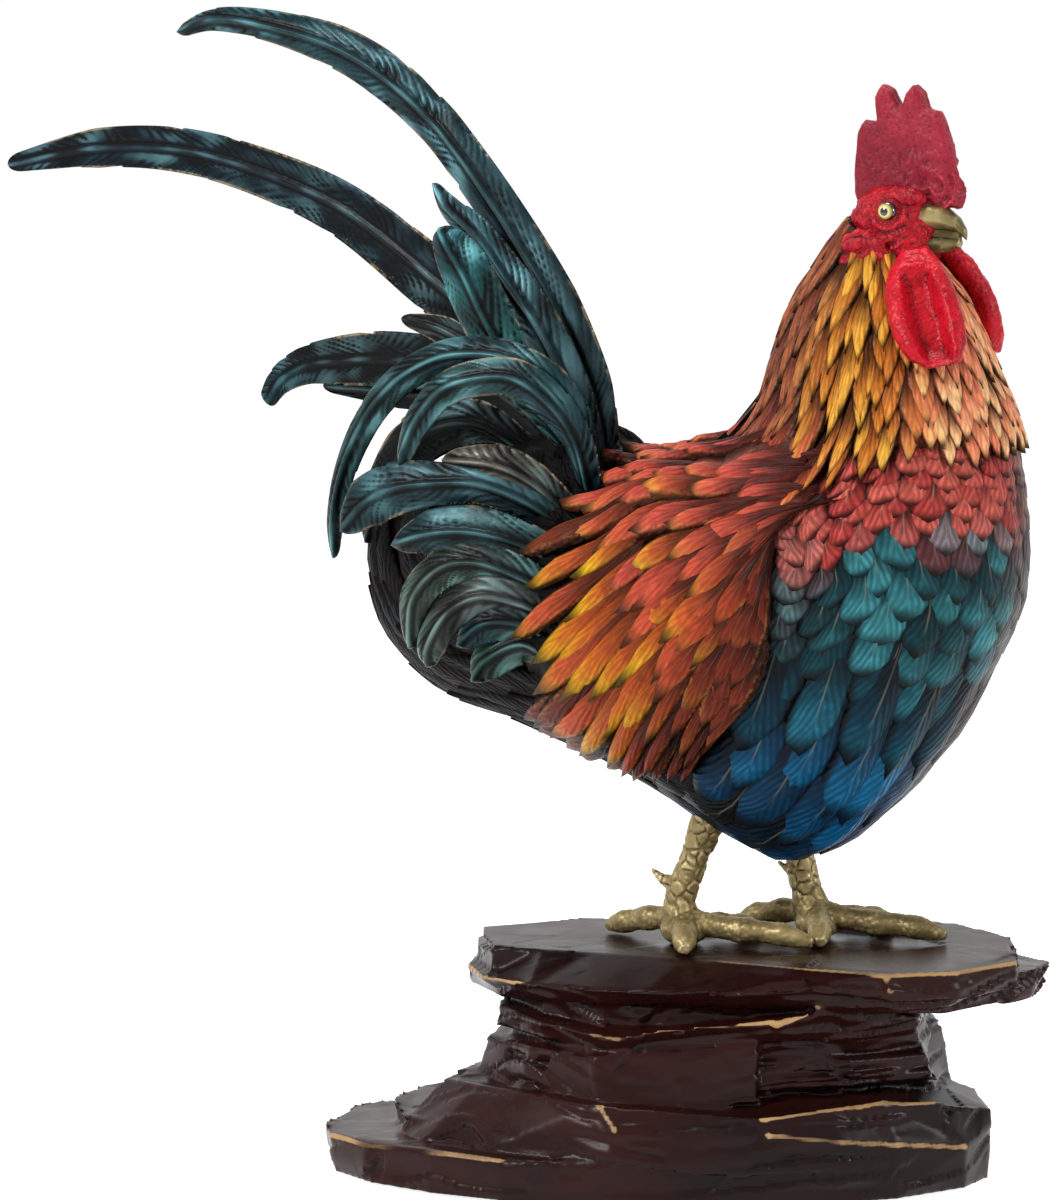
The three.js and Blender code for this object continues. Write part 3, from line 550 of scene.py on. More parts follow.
@dataclass(frozen=True)
class Shading:
    """How far up its ramp of colours each point of a feather lies; the dark root end is partly the
    feather's own colour and partly painted shade under its neighbours.
    """

    start: float
    along: float  # what the way to the tip adds
    aside: float  # what the way to the edge takes off
    mood: float  # what sets neighbours apart
    power: float = 1.0
    middle: float = 0.55

    def tint(self, ramp: Ramp, mood: float, s: float, c: float) -> Vector:
        """The colour at one point.

        Args:
            ramp: Colours of root, middle and tip.
            mood: The feather's own number.
            s: Share along it.
            c: Share across it, from -1 to 1.

        Returns:
            The colour.
        """
        share = self.start + self.along * s**self.power - self.aside * abs(c)
        share += (mood - 0.5) * self.mood
        if share < self.middle:
            return ramp[0].lerp(ramp[1], smooth(0.0, self.middle, share))
        return ramp[1].lerp(ramp[2], smooth(self.middle, 1.0, share))


@dataclass
class Patch:
    """A field of feathers that follow each other along lines on the skin."""

    place: Place
    leaf: Leaf
    rows: Sequence[Row]
    ramp: Callable[[Feather], Ramp]
    shading: Shading
    seed: int
    base: float = 0.0
    spacing: float = 0.82  # distance between feathers, as a share of their width
    jitter: float = 0.25
    scatter: float = 0.0  # how far tips stray along the patch, as a share of it
    wraps: bool = False

    def width_at(self, along: float) -> float:
        """The patch's width in millimetres at a share along."""
        spots = [self.place(along, k / 24, 0) for k in range(25)]
        return sum((b - a).length for a, b in zip(spots, spots[1:]))

    def scale_at(self, along: float, across: float) -> float:
        """How wide the patch is at one spot.

        Args:
            along: Share along.
            across: Share across.

        Returns:
            Millimetres across for each unit of share across.
        """
        step = 0.01
        low = self.place(along, across - step, 0)
        return (self.place(along, across + step, 0) - low).length / (2 * step)

    def fill(self, shape: BMesh) -> int:
        """Lays all the rows.

        Args:
            shape: The mesh that gets the feathers.

        Returns:
            How many feathers there are.
        """
        chance = random.Random(self.seed)
        template = self.leaf.template()
        stamp = Stamp(shape)
        laid = 0
        for number, row in enumerate(self.rows):
            middle = row.tip - row.reach * 0.4
            full = self.width_at(middle) * (row.end - row.start)
            count = max(2, round(full / (row.width * self.spacing)))
            for k in range(count):
                shift = 0.5 * (number % 2) + chance.uniform(-0.5, 0.5) * self.jitter
                share = (k + shift) / count if self.wraps else (k + 0.25 + 0.5 * shift) / count
                size = 1 + chance.uniform(-1, 1) * self.jitter * 0.5
                lean = chance.uniform(-1, 1) * self.jitter
                lift = row.lift + chance.uniform(-0.35, 0.35)
                chance.random()  # a spare draw, which keeps the later ones in step
                feather = Feather(
                    tip=row.tip + chance.uniform(-1, 1) * self.scatter,
                    reach=row.reach * size,
                    half=row.width * size / 2,
                    across=lerp(row.start, row.end, share),
                    lean=lean,
                    lift=lift,
                    mood=chance.random(),
                )
                self.lay(shape, template, stamp, feather)
                laid += 1
        bpy.data.meshes.remove(template)
        return laid

    def lay(
        self, shape: BMesh, template: bpy.types.Mesh, stamp: Stamp, feather: Feather
    ) -> None:
        """Lays one feather on the patch.

        Args:
            shape: The mesh that gets it.
            template: The leaf that it copies.
            stamp: Writes the paint layers.
            feather: Where it stands and how it differs.
        """
        leaf, across, half, tip = self.leaf, feather.across, feather.half, feather.tip
        ramp = self.ramp(feather)
        known = len(shape.verts)
        shape.from_mesh(template)
        shape.verts.ensure_lookup_table()
        root = tip - feather.reach
        scales = [self.scale_at(max(root, 0), across), self.scale_at(tip, across)]
        length = (self.place(tip, across, 0) - self.place(max(root, 0), across, 0)).length
        for vertex in shape.verts[known:]:
            s, c, under = vertex.co
            wide = half * leaf.width(s)
            ahead = s
            height = self.base + feather.lift - leaf.sink + (leaf.rise + leaf.sink) * s**0.8
            height += leaf.crown * (0.6 - abs(c) ** 2.2 - 0.5 * smooth(0.75, 1.0, s))
            tint = self.shading.tint(ramp, feather.mood, s, c)
            if under < 0:
                wide *= leaf.narrow
                ahead -= leaf.tuck if s > 0.5 else 0
                height -= leaf.rim
                # Painted shade on the underside.
                tint = tint * leaf.shade
            aside = (c * wide + feather.lean * half * s * s) / lerp(scales[0], scales[1], s)
            vertex.co = self.place(root + feather.reach * ahead, across + aside, height)
            barb = (s * length, c * wide, feather.mood * 40)
            stamp.mark(vertex, tint, (s, c, 1.0 + under), barb)


def undercoat(
    shape: BMesh, place: Place, along: int, across: int, heights: tuple[float, float],
    tint: Vector,
) -> None:
    """Adds the closed shell that a patch's feathers grow from.

    Args:
        shape: The mesh that gets it.
        place: Places shares along and across and a height.
        along: Faces along.
        across: Faces across, on each side.
        heights: Heights of the shell's outer and inner faces.
        tint: Its colour.
    """
    shell = new_shape()
    stamp = Stamp(shell)
    for vertex in grid(shell, along, across * 2):
        turn = vertex.co.y * 2
        outer = turn <= 1
        where = turn if outer else 2 - turn
        height = heights[0] if outer else heights[1]
        if not 0.001 < turn < 1.999:
            height = sum(heights) / 2
        vertex.co = place(vertex.co.x, where, height)
        stamp.mark(vertex, tint, (0.5, 0.5, 0.0), (0.0, 5.0, 0.0))
    close(shell)
    join(shape, shell)


def bare_skin(
    shape: BMesh, start: float, end: float, lift: float, tint: Vector
) -> None:
    """Adds a closed stretch of the body's skin.

    Args:
        shape: The mesh that gets it.
        start: The station where it begins.
        end: The station where it ends.
        lift: Its height over the skin.
        tint: Its colour.
    """
    skin = new_shape()
    stamp = Stamp(skin)
    for vertex in grid(skin, 16, 40):
        turn = vertex.co.y * 360 - 180
        vertex.co = SKIN.point(lerp(start, end, vertex.co.x), turn, lift)
        stamp.mark(vertex, tint, (0.5, 0.5, 0.0), (0.0, 5.0, 0.0))
    close(skin)
    join(shape, skin)


def join(shape: BMesh, other: BMesh) -> None:
    """Adds another mesh to a mesh.

    Args:
        shape: The mesh that gets it.
        other: The mesh that is added, and freed.
    """
    mesh = bpy.data.meshes.new("join")
    other.to_mesh(mesh)
    other.free()
    shape.from_mesh(mesh)
    bpy.data.meshes.remove(mesh)


class Paintbox:
    """Makes the nodes of one material and joins them."""

    def __init__(self, name: str) -> None:
        """Starts a material with one shader.

        Args:
            name: The material's name.
        """
        self.material = bpy.data.materials.new(name)
        self.material.use_nodes = True
        self.tree = self.material.node_tree
        self.tree.nodes.clear()
        self.shader = self.tree.nodes.new("ShaderNodeBsdfPrincipled")
        output = self.tree.nodes.new("ShaderNodeOutputMaterial")
        self.tree.links.new(self.shader.outputs[0], output.inputs[0])

    def feed(self, socket: NodeSocket, value: object) -> None:
        """Sets a socket to a constant, or joins it to another node's output.

        Args:
            socket: The socket.
            value: A number, a colour or an output.
        """
        if isinstance(value, NodeSocket):
            self.tree.links.new(value, socket)
        elif isinstance(value, Vector) and len(socket.default_value) == 4:
            socket.default_value = (*value, 1.0)
        else:
            socket.default_value = value

    def attribute(self, layer: Layer) -> tuple[NodeSocket, ...]:
        """The colour, X, Y and Z of a vertex layer.

        Args:
            layer: The layer.

        Returns:
            The sockets for the colour and the three numbers.
        """
        node = self.tree.nodes.new("ShaderNodeAttribute")
        node.attribute_name = layer.value
        split = self.tree.nodes.new("ShaderNodeSeparateXYZ")
        self.tree.links.new(node.outputs["Vector"], split.inputs[0])
        return (node.outputs["Color"], *split.outputs)

    def stand(self) -> NodeSocket:
        """How far the surface stands out.

        Returns:
            The socket of the layer of single numbers.
        """
        node = self.tree.nodes.new("ShaderNodeAttribute")
        node.attribute_name = Layer.STAND.value
        return node.outputs["Fac"]

    def math(self, action: str, *values: object) -> NodeSocket:
        """A sum on one to three values.

        Args:
            action: The Math node's operation.
            values: Numbers or sockets.

        Returns:
            The result's socket.
        """
        node = self.tree.nodes.new("ShaderNodeMath")
        node.operation = action
        for socket, value in zip(node.inputs, values):
            self.feed(socket, value)
        return node.outputs[0]

    def times(self, first: object, second: object) -> NodeSocket:
        """The product of two values."""
        return self.math("MULTIPLY", first, second)

    def scaled(self, value: object, factor: object, start: object) -> NodeSocket:
        """A value times a factor, added to a start."""
        return self.math("MULTIPLY_ADD", value, factor, start)

    def flip(self, value: object) -> NodeSocket:
        """What a value lacks to 1."""
        return self.math("SUBTRACT", 1.0, value)

    def step(self, value: object, low: float, high: float) -> NodeSocket:
        """A soft step of a value.

        Args:
            value: The value.
            low: Where the step is 0.
            high: Where it is 1.

        Returns:
            The step's socket.
        """
        node = self.tree.nodes.new("ShaderNodeMapRange")
        node.interpolation_type = "SMOOTHSTEP"
        self.feed(node.inputs[0], value)
        node.inputs[1].default_value, node.inputs[2].default_value = low, high
        return node.outputs[0]

    def mix(self, share: object, low: object, high: object, how: str = "MIX") -> NodeSocket:
        """A blend of two colours.

        Args:
            share: How much of the second, from 0 to 1.
            low: The first colour.
            high: The second colour.
            how: The blend's kind.

        Returns:
            The blend's socket.
        """
        node = self.tree.nodes.new("ShaderNodeMix")
        node.data_type = "RGBA"
        node.blend_type = how
        self.feed(node.inputs[0], share)
        self.feed(node.inputs[6], low)
        self.feed(node.inputs[7], high)
        return node.outputs[2]

    def texture(self, kind: str, scale: float, stretch: Point = (1, 1, 1)) -> bpy.types.Node:
        """A texture on the object's own coordinates.

        Args:
            kind: The node's type.
            scale: How often it repeats in a metre.
            stretch: How the coordinates are scaled first.

        Returns:
            The texture node.
        """
        place = self.tree.nodes.new("ShaderNodeTexCoord")
        shift = self.tree.nodes.new("ShaderNodeMapping")
        shift.inputs["Scale"].default_value = stretch
        self.tree.links.new(place.outputs["Object"], shift.inputs[0])
        node = self.tree.nodes.new(kind)
        node.inputs["Scale"].default_value = scale
        self.tree.links.new(shift.outputs[0], node.inputs["Vector"])
        return node

    def noise(
        self, scale: float, detail: float = 3.0, stretch: Point = (1, 1, 1)
    ) -> NodeSocket:
        """Cloudy noise, about 0.5 on average.

        Args:
            scale: Clouds for each metre.
            detail: Octaves.
            stretch: How the coordinates are scaled first.

        Returns:
            The noise's socket.
        """
        node = self.texture("ShaderNodeTexNoise", scale, stretch)
        node.inputs["Detail"].default_value = detail
        return node.outputs["Fac"]

    def cells(self, scale: float) -> NodeSocket:
        """Distances in a pattern of cells."""
        return self.texture("ShaderNodeTexVoronoi", scale).outputs["Distance"]

    def waves(self, phase: object) -> NodeSocket:
        """Even ridges from 0 to 1 of a phase counted in ridges."""
        return self.scaled(self.math("SINE", self.times(phase, math.tau)), 0.5, 0.5)

    def bump(self, height: object, distance: float) -> None:
        """Gives the shader a bump.

        Args:
            height: The height's socket, from 0 to 1.
            distance: What 1 stands for, in metres.
        """
        node = self.tree.nodes.new("ShaderNodeBump")
        node.inputs["Strength"].default_value = 1.0
        node.inputs["Distance"].default_value = distance
        self.feed(node.inputs["Height"], height)
        self.tree.links.new(node.outputs[0], self.shader.inputs["Normal"])

    def coat(self, colour: object, rough: object, **constants: float) -> Material:
        """Feeds the shader and returns the finished material.

        Args:
            colour: The base colour.
            rough: The roughness.
            constants: Other shader sockets, by name with _ for a space.

        Returns:
            The material.
        """
        self.feed(self.shader.inputs["Base Color"], colour)
        self.feed(self.shader.inputs["Roughness"], rough)
        for name, value in constants.items():
            self.shader.inputs[name.replace("_", " ")].default_value = value
        return self.material


@dataclass(frozen=True)
class FeatherPaint:
    """Paint over cast feathers: tinted, streaked along the barbs, with painted shade at rims and
    roots and a dark wash with painted shade in the hollows.
    """

    name: str
    along: float  # barb ridges for each millimetre along the quill
    across: float  # and for each millimetre away from it
    depth: float = 0.00022
    contrast: float = 0.42
    quill: str = "d8b890"
    quill_width: float = 0.32
    quill_share: float = 0.5
    rubbed: str = "e8c890"
    rubbed_share: float = 0.0
    rough: float = 0.42
    metallic: float = 0.0
    specular: float = 0.07
    # Painted shade in the gaps: outline is how strongly it darkens rims and roots, root is where it
    # fades along, shadow is its colour.
    outline: float = 0.9
    root: tuple[float, float] = (0.5, 0.92)  # shares along where the dark root begins to fade
    shadow: str = "0c0606"
    # The colour of the undersides and of the skin between the feathers: a dark wash and painted
    # shade.
    hollow_wash_and_shade: str = "050303"
    bend_scale: float = 110.0  # clouds for each metre that bend the barbs
    patch_scale: float = 220.0  # that strengthen and weaken them
    blotch_scale: float = 420.0  # that mottle the paint
    ragged_scale: float = 600.0  # that roughen it
    rub_scale: float = 700.0  # that break up the rubbed edges

    def barbs(
        self, box: Paintbox, along: NodeSocket, off: NodeSocket
    ) -> NodeSocket:
        """The ridges of the barbs, which slant away from the quill and fade at the tip.

        Args:
            box: The material's nodes.
            along: Share along the feather.
            off: Millimetres away from its quill.

        Returns:
            The ridges' socket, from 0 to about 1.
        """
        _, far, _, mood = box.attribute(Layer.BARB)
        phase = box.scaled(off, self.across, box.times(far, self.along))
        phase = box.math("ADD", phase, box.scaled(box.noise(self.bend_scale, 2), 1.2, mood))
        patchy = box.step(box.noise(self.patch_scale, 2), 0.3, 0.7)
        ridges = box.times(box.waves(phase), box.scaled(patchy, 0.8, 0.3))
        return box.times(ridges, box.flip(box.step(along, 0.8, 1.0)))

    def make(self) -> Material:
        """Builds the material.

        Returns:
            The finished material.
        """
        box = Paintbox(self.name)
        tint, *_ = box.attribute(Layer.TINT)
        _, s, c, height = box.attribute(Layer.VANE)
        off = box.math("ABSOLUTE", box.attribute(Layer.BARB)[2])
        aside = box.math("ABSOLUTE", c)
        barbs = self.barbs(box, s, off)
        ragged = box.noise(self.ragged_scale)
        shade = box.scaled(barbs, self.contrast * 1.7, 1 - self.contrast)
        dark = box.times(shade, box.scaled(box.noise(self.blotch_scale), 0.7, 0.66))
        colour = box.mix(1.0, tint, dark, "MULTIPLY")
        line = box.flip(box.step(off, self.quill_width * 0.4, self.quill_width))
        line = box.times(line, box.flip(box.step(s, 0.5, 0.8)))
        colour = box.mix(box.times(line, self.quill_share), colour, paint(self.quill))
        if self.rubbed_share:
            rub = box.step(box.noise(self.rub_scale), 0.42, 0.62)
            rub = box.times(box.times(box.step(aside, 0.45, 0.75), rub), self.rubbed_share)
            colour = box.mix(rub, colour, paint(self.rubbed))
        # Painted shade in the gaps: dark along the rims and tips, and on the roots that lie under
        # the neighbouring feathers.
        rim = box.math("MAXIMUM", box.step(aside, 0.55, 0.86), box.step(s, 0.83, 0.97))
        root = box.flip(box.step(s, *self.root))
        gap_shade = box.math("MAXIMUM", rim, box.times(root, 0.9))
        colour = box.mix(box.times(gap_shade, self.outline), colour, paint(self.shadow))
        # A dark wash and painted shade on the undersides, by their height in the relief.
        colour = box.mix(box.step(height, 0.0, 0.9), paint(self.hollow_wash_and_shade), colour)
        box.bump(box.scaled(ragged, 0.5, box.scaled(line, 1.2, barbs)), self.depth)
        rough = box.scaled(ragged, 0.2, self.rough - 0.1)
        return box.coat(
            colour, rough, Metallic=self.metallic, Specular_IOR_Level=self.specular
        )


@dataclass(frozen=True)
class BladePaint:
    """Paint over a tail plume: black in the grooves from a wash and painted shade, teal on the
    vanes, a painted cool sheen on crests.
    """

    name: str
    # Painted highlight: the colour of the cool sheen on the crests.
    sheen: str = "7fb0b4"
    rubbed: str = "b39a78"
    rough: float = 0.34
    depth: float = 0.0001
    metallic: float = 0.2
    specular: float = 0.12
    fine_along: float = 0.2
    fine_across: float = 0.6
    # The colour of the grooves: a dark wash and painted shade.
    hollow_wash_and_shade: str = "020304"
    bend_scale: float = 90.0  # clouds for each metre that bend the fine strokes
    cloud_scale: float = 38.0  # that gather the sheen
    ragged_scale: float = 500.0  # that roughen the paint
    rub_scale: float = 45.0  # that break up the rubbed edges

    def make(self) -> Material:
        """Builds the material.

        Returns:
            The finished material.
        """
        box = Paintbox(self.name)
        tint, *_ = box.attribute(Layer.TINT)
        _, _, c, height = box.attribute(Layer.VANE)
        _, far, aside, _ = box.attribute(Layer.BARB)
        off = box.math("ABSOLUTE", aside)
        fine = box.scaled(off, -self.fine_across, box.times(far, self.fine_along))
        fine = box.waves(box.scaled(box.noise(self.bend_scale), 3.5, fine))
        ragged = box.noise(self.ragged_scale)
        shade = box.scaled(fine, 0.16, box.scaled(ragged, 0.5, 0.2))
        colour = box.mix(1.0, tint, shade, "MULTIPLY")
        # Painted highlight: a cool sheen on the crests, in clouds, brighter where the tint is
        # brighter.
        cloud = box.step(box.noise(self.cloud_scale), 0.42, 0.62)
        sheen = box.times(box.step(height, 0.5, 0.9), box.scaled(cloud, 0.5, 0.25))
        bright = box.mix(1.0, tint, Vector((4, 4, 4)), "MULTIPLY")
        colour = box.mix(sheen, colour, box.mix(0.4, bright, paint(self.sheen)))
        edge = box.step(box.math("ABSOLUTE", c), 0.86, 0.97)
        rub = box.step(box.scaled(ragged, 0.4, box.noise(self.rub_scale)), 0.68, 0.86)
        worn = box.times(box.times(edge, rub), 0.7)
        colour = box.mix(worn, colour, paint(self.rubbed))
        # A dark wash and painted shade in the grooves, by the relief's height.
        colour = box.mix(box.step(height, 0.12, 0.6), paint(self.hollow_wash_and_shade), colour)
        box.bump(ragged, self.depth)
        rough = box.scaled(ragged, 0.2, self.rough - 0.1)
        return box.coat(
            colour, rough, Metallic=self.metallic, Specular_IOR_Level=self.specular
        )


@dataclass(frozen=True)
class CastPaint:
    """Paint over a carved casting: one colour in the hollows, one on the flats, one on the edges."""

    name: str
    hollow: str
    flat: str
    second: str
    edge: str
    grain: float = 300.0
    edge_from: float = 0.05
    edge_to: float = 0.2
    edge_share: float = 0.8
    break_up: float = 0.5
    rough: float = 0.4
    depth: float = 0.0002
    metallic: float = 0.0
    specular: float = 0.18
    pores: float = 0.0
    stretch: Point = (1, 1, 1)

    def make(self) -> Material:
        """Builds the material.

        Returns:
            The finished material.
        """
        box = Paintbox(self.name)
        stand = box.stand()
        cloud = box.step(box.noise(self.grain * 0.16, 4, self.stretch), 0.38, 0.64)
        fine = box.noise(self.grain, 4, self.stretch)
        colour = box.mix(cloud, paint(self.flat), paint(self.second))
        colour = box.mix(1.0, colour, box.scaled(fine, 0.8, 0.6), "MULTIPLY")
        low = box.step(stand, -self.edge_to, -self.edge_from * 0.2)
        colour = box.mix(low, paint(self.hollow), colour)
        worn = box.step(stand, self.edge_from, self.edge_to)
        broken = box.step(box.noise(self.grain * 0.5), 0.5 - self.break_up * 0.3, 0.62)
        worn = box.times(box.times(worn, broken), self.edge_share)
        colour = box.mix(worn, colour, paint(self.edge))
        height = fine
        if self.pores:
            cells = box.cells(self.pores)
            height = box.scaled(cells, 1.1, fine)
            pore = box.flip(box.step(cells, 0.08, 0.42))
            colour = box.mix(box.times(pore, 0.5), colour, paint(self.hollow))
        box.bump(height, self.depth)
        rough = box.scaled(fine, 0.24, self.rough - 0.12)
        return box.coat(
            colour, rough, Metallic=self.metallic, Specular_IOR_Level=self.specular
        )


@dataclass(frozen=True)
class EyeEnamel:
    """Glossy enamel: a dark pupil, a pale iris and a dark rim, by the share from the middle."""

    name: str = "eye_enamel_gloss"
    pupil: tuple[float, float] = (0.38, 0.48)  # shares from the middle where the pupil fades
    iris: tuple[float, float] = (0.5, 0.74)  # where the iris darkens
    rim: tuple[float, float] = (0.72, 0.84)  # where the rim begins

    def make(self) -> Material:
        """Builds the material.

        Returns:
            The finished material.
        """
        box = Paintbox(self.name)
        gaze = box.stand()
        iris = box.mix(box.step(gaze, *self.iris), paint("e4d488"), paint("a8963c"))
        iris = box.mix(box.step(gaze, *self.pupil), paint("060605"), iris)
        colour = box.mix(box.step(gaze, *self.rim), iris, paint("141008"))
        return box.coat(colour, 0.12, Coat_Weight=0.6, Coat_Roughness=0.05)


@dataclass(frozen=True)
class PlainFinish:
    """A plain stock finish with grain: felt, board or plated steel."""

    name: str
    colour: str
    second: str
    grain: float
    rough: float
    metallic: float = 0.0
    stretch: Point = (1, 1, 1)
    depth: float = 0.0002

    def make(self) -> Material:
        """Builds the material.

        Returns:
            The finished material.
        """
        box = Paintbox(self.name)
        fine = box.noise(self.grain, 5, self.stretch)
        colour = box.mix(box.step(fine, 0.35, 0.65), paint(self.colour), paint(self.second))
        box.bump(fine, self.depth)
        rough = box.scaled(fine, 0.2, self.rough - 0.1)
        return box.coat(colour, rough, Metallic=self.metallic)


def finish_piece(
    piece: Object, material: Material, slot: Slot, *nodes: str
) -> None:
    """Paints a piece, sets it on the frame and says which nodes it stands for.

    Args:
        piece: The finished object.
        material: Its material.
        slot: The record's slot; not used.
        nodes: The nodes that it replaces.
    """
    piece.data.materials.clear()
    piece.data.materials.append(material)
    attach(piece, "root")
    if nodes:
        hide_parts(*nodes)
    log.info("%s: %d faces, for %s", piece.name, len(piece.data.polygons), ", ".join(nodes))


# The plumage of the body

WING_FLOW = (
    ((20, 88), (8, 90), (-6, 92), (-22, 92)),
    ((60, 54), (35, 53), (9.5, 60), (-17, 63)),
    ((61, 50), (40, 47), (7.5, 48), (-30, 30)),
    ((61, 42), (35, 35), (8.5, 23), (-32, -7)),
    ((60, 38), (43, 28), (14, 7), (-30, -38)),
    ((59, 35), (44, 19), (20, -4), (-20, -58)),
    ((58, 33), (48.5, 16), (28.5, -11), (3, -52)),
    ((58, 30), (54.5, 13), (42, -12), (27, -38)),
    ((58, 26), (57, 9), (51, -12), (38, -30)),
)
WING_LIFT = 2.3


def cape_place(along: float, across: float, lift: float) -> Vector:
    """A place on the neck, from the throat to the cape's hem."""
    turn = across * 360 - 180
    return SKIN.point(hem_at(turn) * along, turn, lift)


def breast_place(along: float, across: float, lift: float) -> Vector:
    """A place on the breast, from under the cape's hem to the waist.

    Args:
        along: Share along.
        across: Share across.
        lift: Height over the skin.

    Returns:
        The point in the bird's frame.
    """
    side = across * 2 - 1
    station = lerp(hem_at(side * 105) - 0.2, WAIST + 0.3, along)
    return SKIN.point(station, side * between(BREAST_SIDE, station), lift)


def rump_place(along: float, across: float, lift: float) -> Vector:
    """A place on the rump, from the waist to the vent."""
    return SKIN.point(lerp(WAIST - 0.3, len(STATIONS) - 1.4, along), across * 360 - 180, lift)


class Flank:
    """One side of the body, which a wing's feathers lie on, seen from a level line inside it."""

    core: float = 165.0

    def __init__(self, side: Side) -> None:
        """Draws the skin of the body for one side.

        Args:
            side: Which side.
        """
        shape = new_shape()
        grid(shape, 120, 90)
        for vertex in shape.verts:
            turn = lerp(-20, 200, vertex.co.y) * side.value
            vertex.co = SKIN.point(lerp(0, len(STATIONS) - 1, vertex.co.x), turn)
        shape.normal_update()
        self.tree = BVHTree.FromBMesh(shape)
        self.side = side.value
        shape.free()

    def at(self, ahead: float, rise: float, lift: float) -> Vector:
        """The point over the skin in one direction.

        Args:
            ahead: How far forward it lies.
            rise: Degrees over the level.
            lift: Height over the skin.

        Returns:
            The point in the bird's frame.
        """
        angle = math.radians(rise)
        out = Vector((0, self.side * math.cos(angle), math.sin(angle)))
        core = Vector((ahead, 0, self.core))
        place, normal, _, _ = self.tree.ray_cast(core + out * 150, -out)
        if place is None:
            place, normal, _, _ = self.tree.find_nearest(core + out * 40)
        if normal.dot(out) < 0:
            normal.negate()
        return place + normal * lift


def wing_place(side: Side) -> Place:
    """The places of a wing, from the shoulder to the flank and from the back down.

    Args:
        side: Which wing.

    Returns:
        A function that places shares along and across and a height.
    """
    flank = Flank(side)
    lines = [Curve([(x, rise, 0) for x, rise in line]) for line in WING_FLOW]

    def flow(line: Curve, along: float) -> Vector:
        """A spot on one line, which runs on straight past its ends.

        Args:
            line: The line.
            along: Share along it.

        Returns:
            How far forward the spot lies, and its degrees over the level.
        """
        spot = line.at(along)
        if along < 0:
            spot += (line.at(0.05) - line.at(0)) * along / 0.05
        elif along > 1:
            spot += (line.at(1) - line.at(0.95)) * (along - 1) / 0.05
        return spot

    def place(along: float, across: float, lift: float) -> Vector:
        """A place on this wing.

        Args:
            along: Share along.
            across: Share across.
            lift: Height over the skin.

        Returns:
            The point in the bird's frame.
        """
        share = across * (len(lines) - 1)
        low = min(max(int(share), 0), len(lines) - 2)
        spot = flow(lines[low], along).lerp(flow(lines[low + 1], along), share - low)
        return flank.at(spot.x, spot.y, lift)

    return place


def ramp_of(*codes: str) -> Ramp:
    """The colours of root, middle and tip."""
    return tuple(paint(code) for code in codes)


def blend(first: Ramp, second: Ramp, share: float) -> Ramp:
    """A ramp between two ramps."""
    return tuple(a.lerp(b, share) for a, b in zip(first, second))


# Ramps of root, middle and tip; the dark root ends are partly each feather's own colour and partly
# painted shade under its neighbours.
HACKLE_GOLD = ramp_of("4a150c", "bc6822", "ecae40")
HACKLE_SALMON = ramp_of("7a2414", "f48a64", "ffca90")
HACKLE_BROWN = ramp_of("2a100c", "783a28", "a8603c")
WING_CORAL = ramp_of("48100e", "c04c40", "e08450")
WING_ORANGE = ramp_of("480f0c", "bc4c2a", "e49434")
WING_YELLOW = ramp_of("54120c", "bc5424", "f0c820")
WING_BRICK = ramp_of("1c0605", "4c1914", "7a2e22")
BREAST_MAROON = ramp_of("2e0c0c", "a83c38", "c85c50")
BREAST_ASH = ramp_of("141012", "544646", "74645e")
BREAST_TEAL = ramp_of("041014", "0f3238", "3a8088")
BREAST_NAVY = ramp_of("04101a", "0c2e3c", "206070")
BREAST_BLUE = ramp_of("041420", "0c4468", "1878b4")
FLUFF = ramp_of("010102", "050708", "0e1418")

HACKLE_SHADING = Shading(0.3, 0.7, 0.25, 0.45)
WING_SHADING = Shading(0.3, 0.62, -0.12, 0.25, power=3)
BREAST_SHADING = Shading(0.35, 0.6, 0.15, 0.5)
FLUFF_SHADING = Shading(0.2, 0.7, 0.0, 0.5)


def cape_ramp(feather: Feather) -> Ramp:
    """The hackles: golden at the side, salmon in front and brown at the nape.

    Args:
        feather: One of them.

    Returns:
        Its colours.
    """
    turn = feather.across * 360 - 180
    ramp = blend(HACKLE_SALMON, HACKLE_GOLD, smooth(35, 70, -turn))
    ramp = blend(ramp, HACKLE_BROWN, smooth(96, 122, abs(turn)))
    low = smooth(0.75, 1.0, feather.tip) * smooth(75, 100, abs(turn))
    return blend(ramp, WING_CORAL, low * 0.6)


def wing_ramp(feather: Feather) -> Ramp:
    """The wing: coral on the back, orange below, yellow at the lower tips and brick in front.

    Args:
        feather: One of its feathers.

    Returns:
        Its colours.
    """
    along, across = feather.tip, feather.across
    ramp = blend(WING_CORAL, WING_ORANGE, smooth(0.3, 0.65, across) * 0.8)
    yellow = smooth(0.4, 0.75, along) * smooth(0.12, 0.35, across) * smooth(0.95, 0.7, across)
    ramp = blend(ramp, WING_YELLOW, yellow * smooth(0.15, 0.5, feather.mood))
    front = max(smooth(0.62, 0.86, across), smooth(0.6, 0.25, along) * smooth(0.4, 0.65, across))
    ramp = blend(ramp, WING_BRICK, front * 0.85)
    hem = along > 1.02
    return blend(ramp, WING_BRICK, 0.9) if hem else ramp


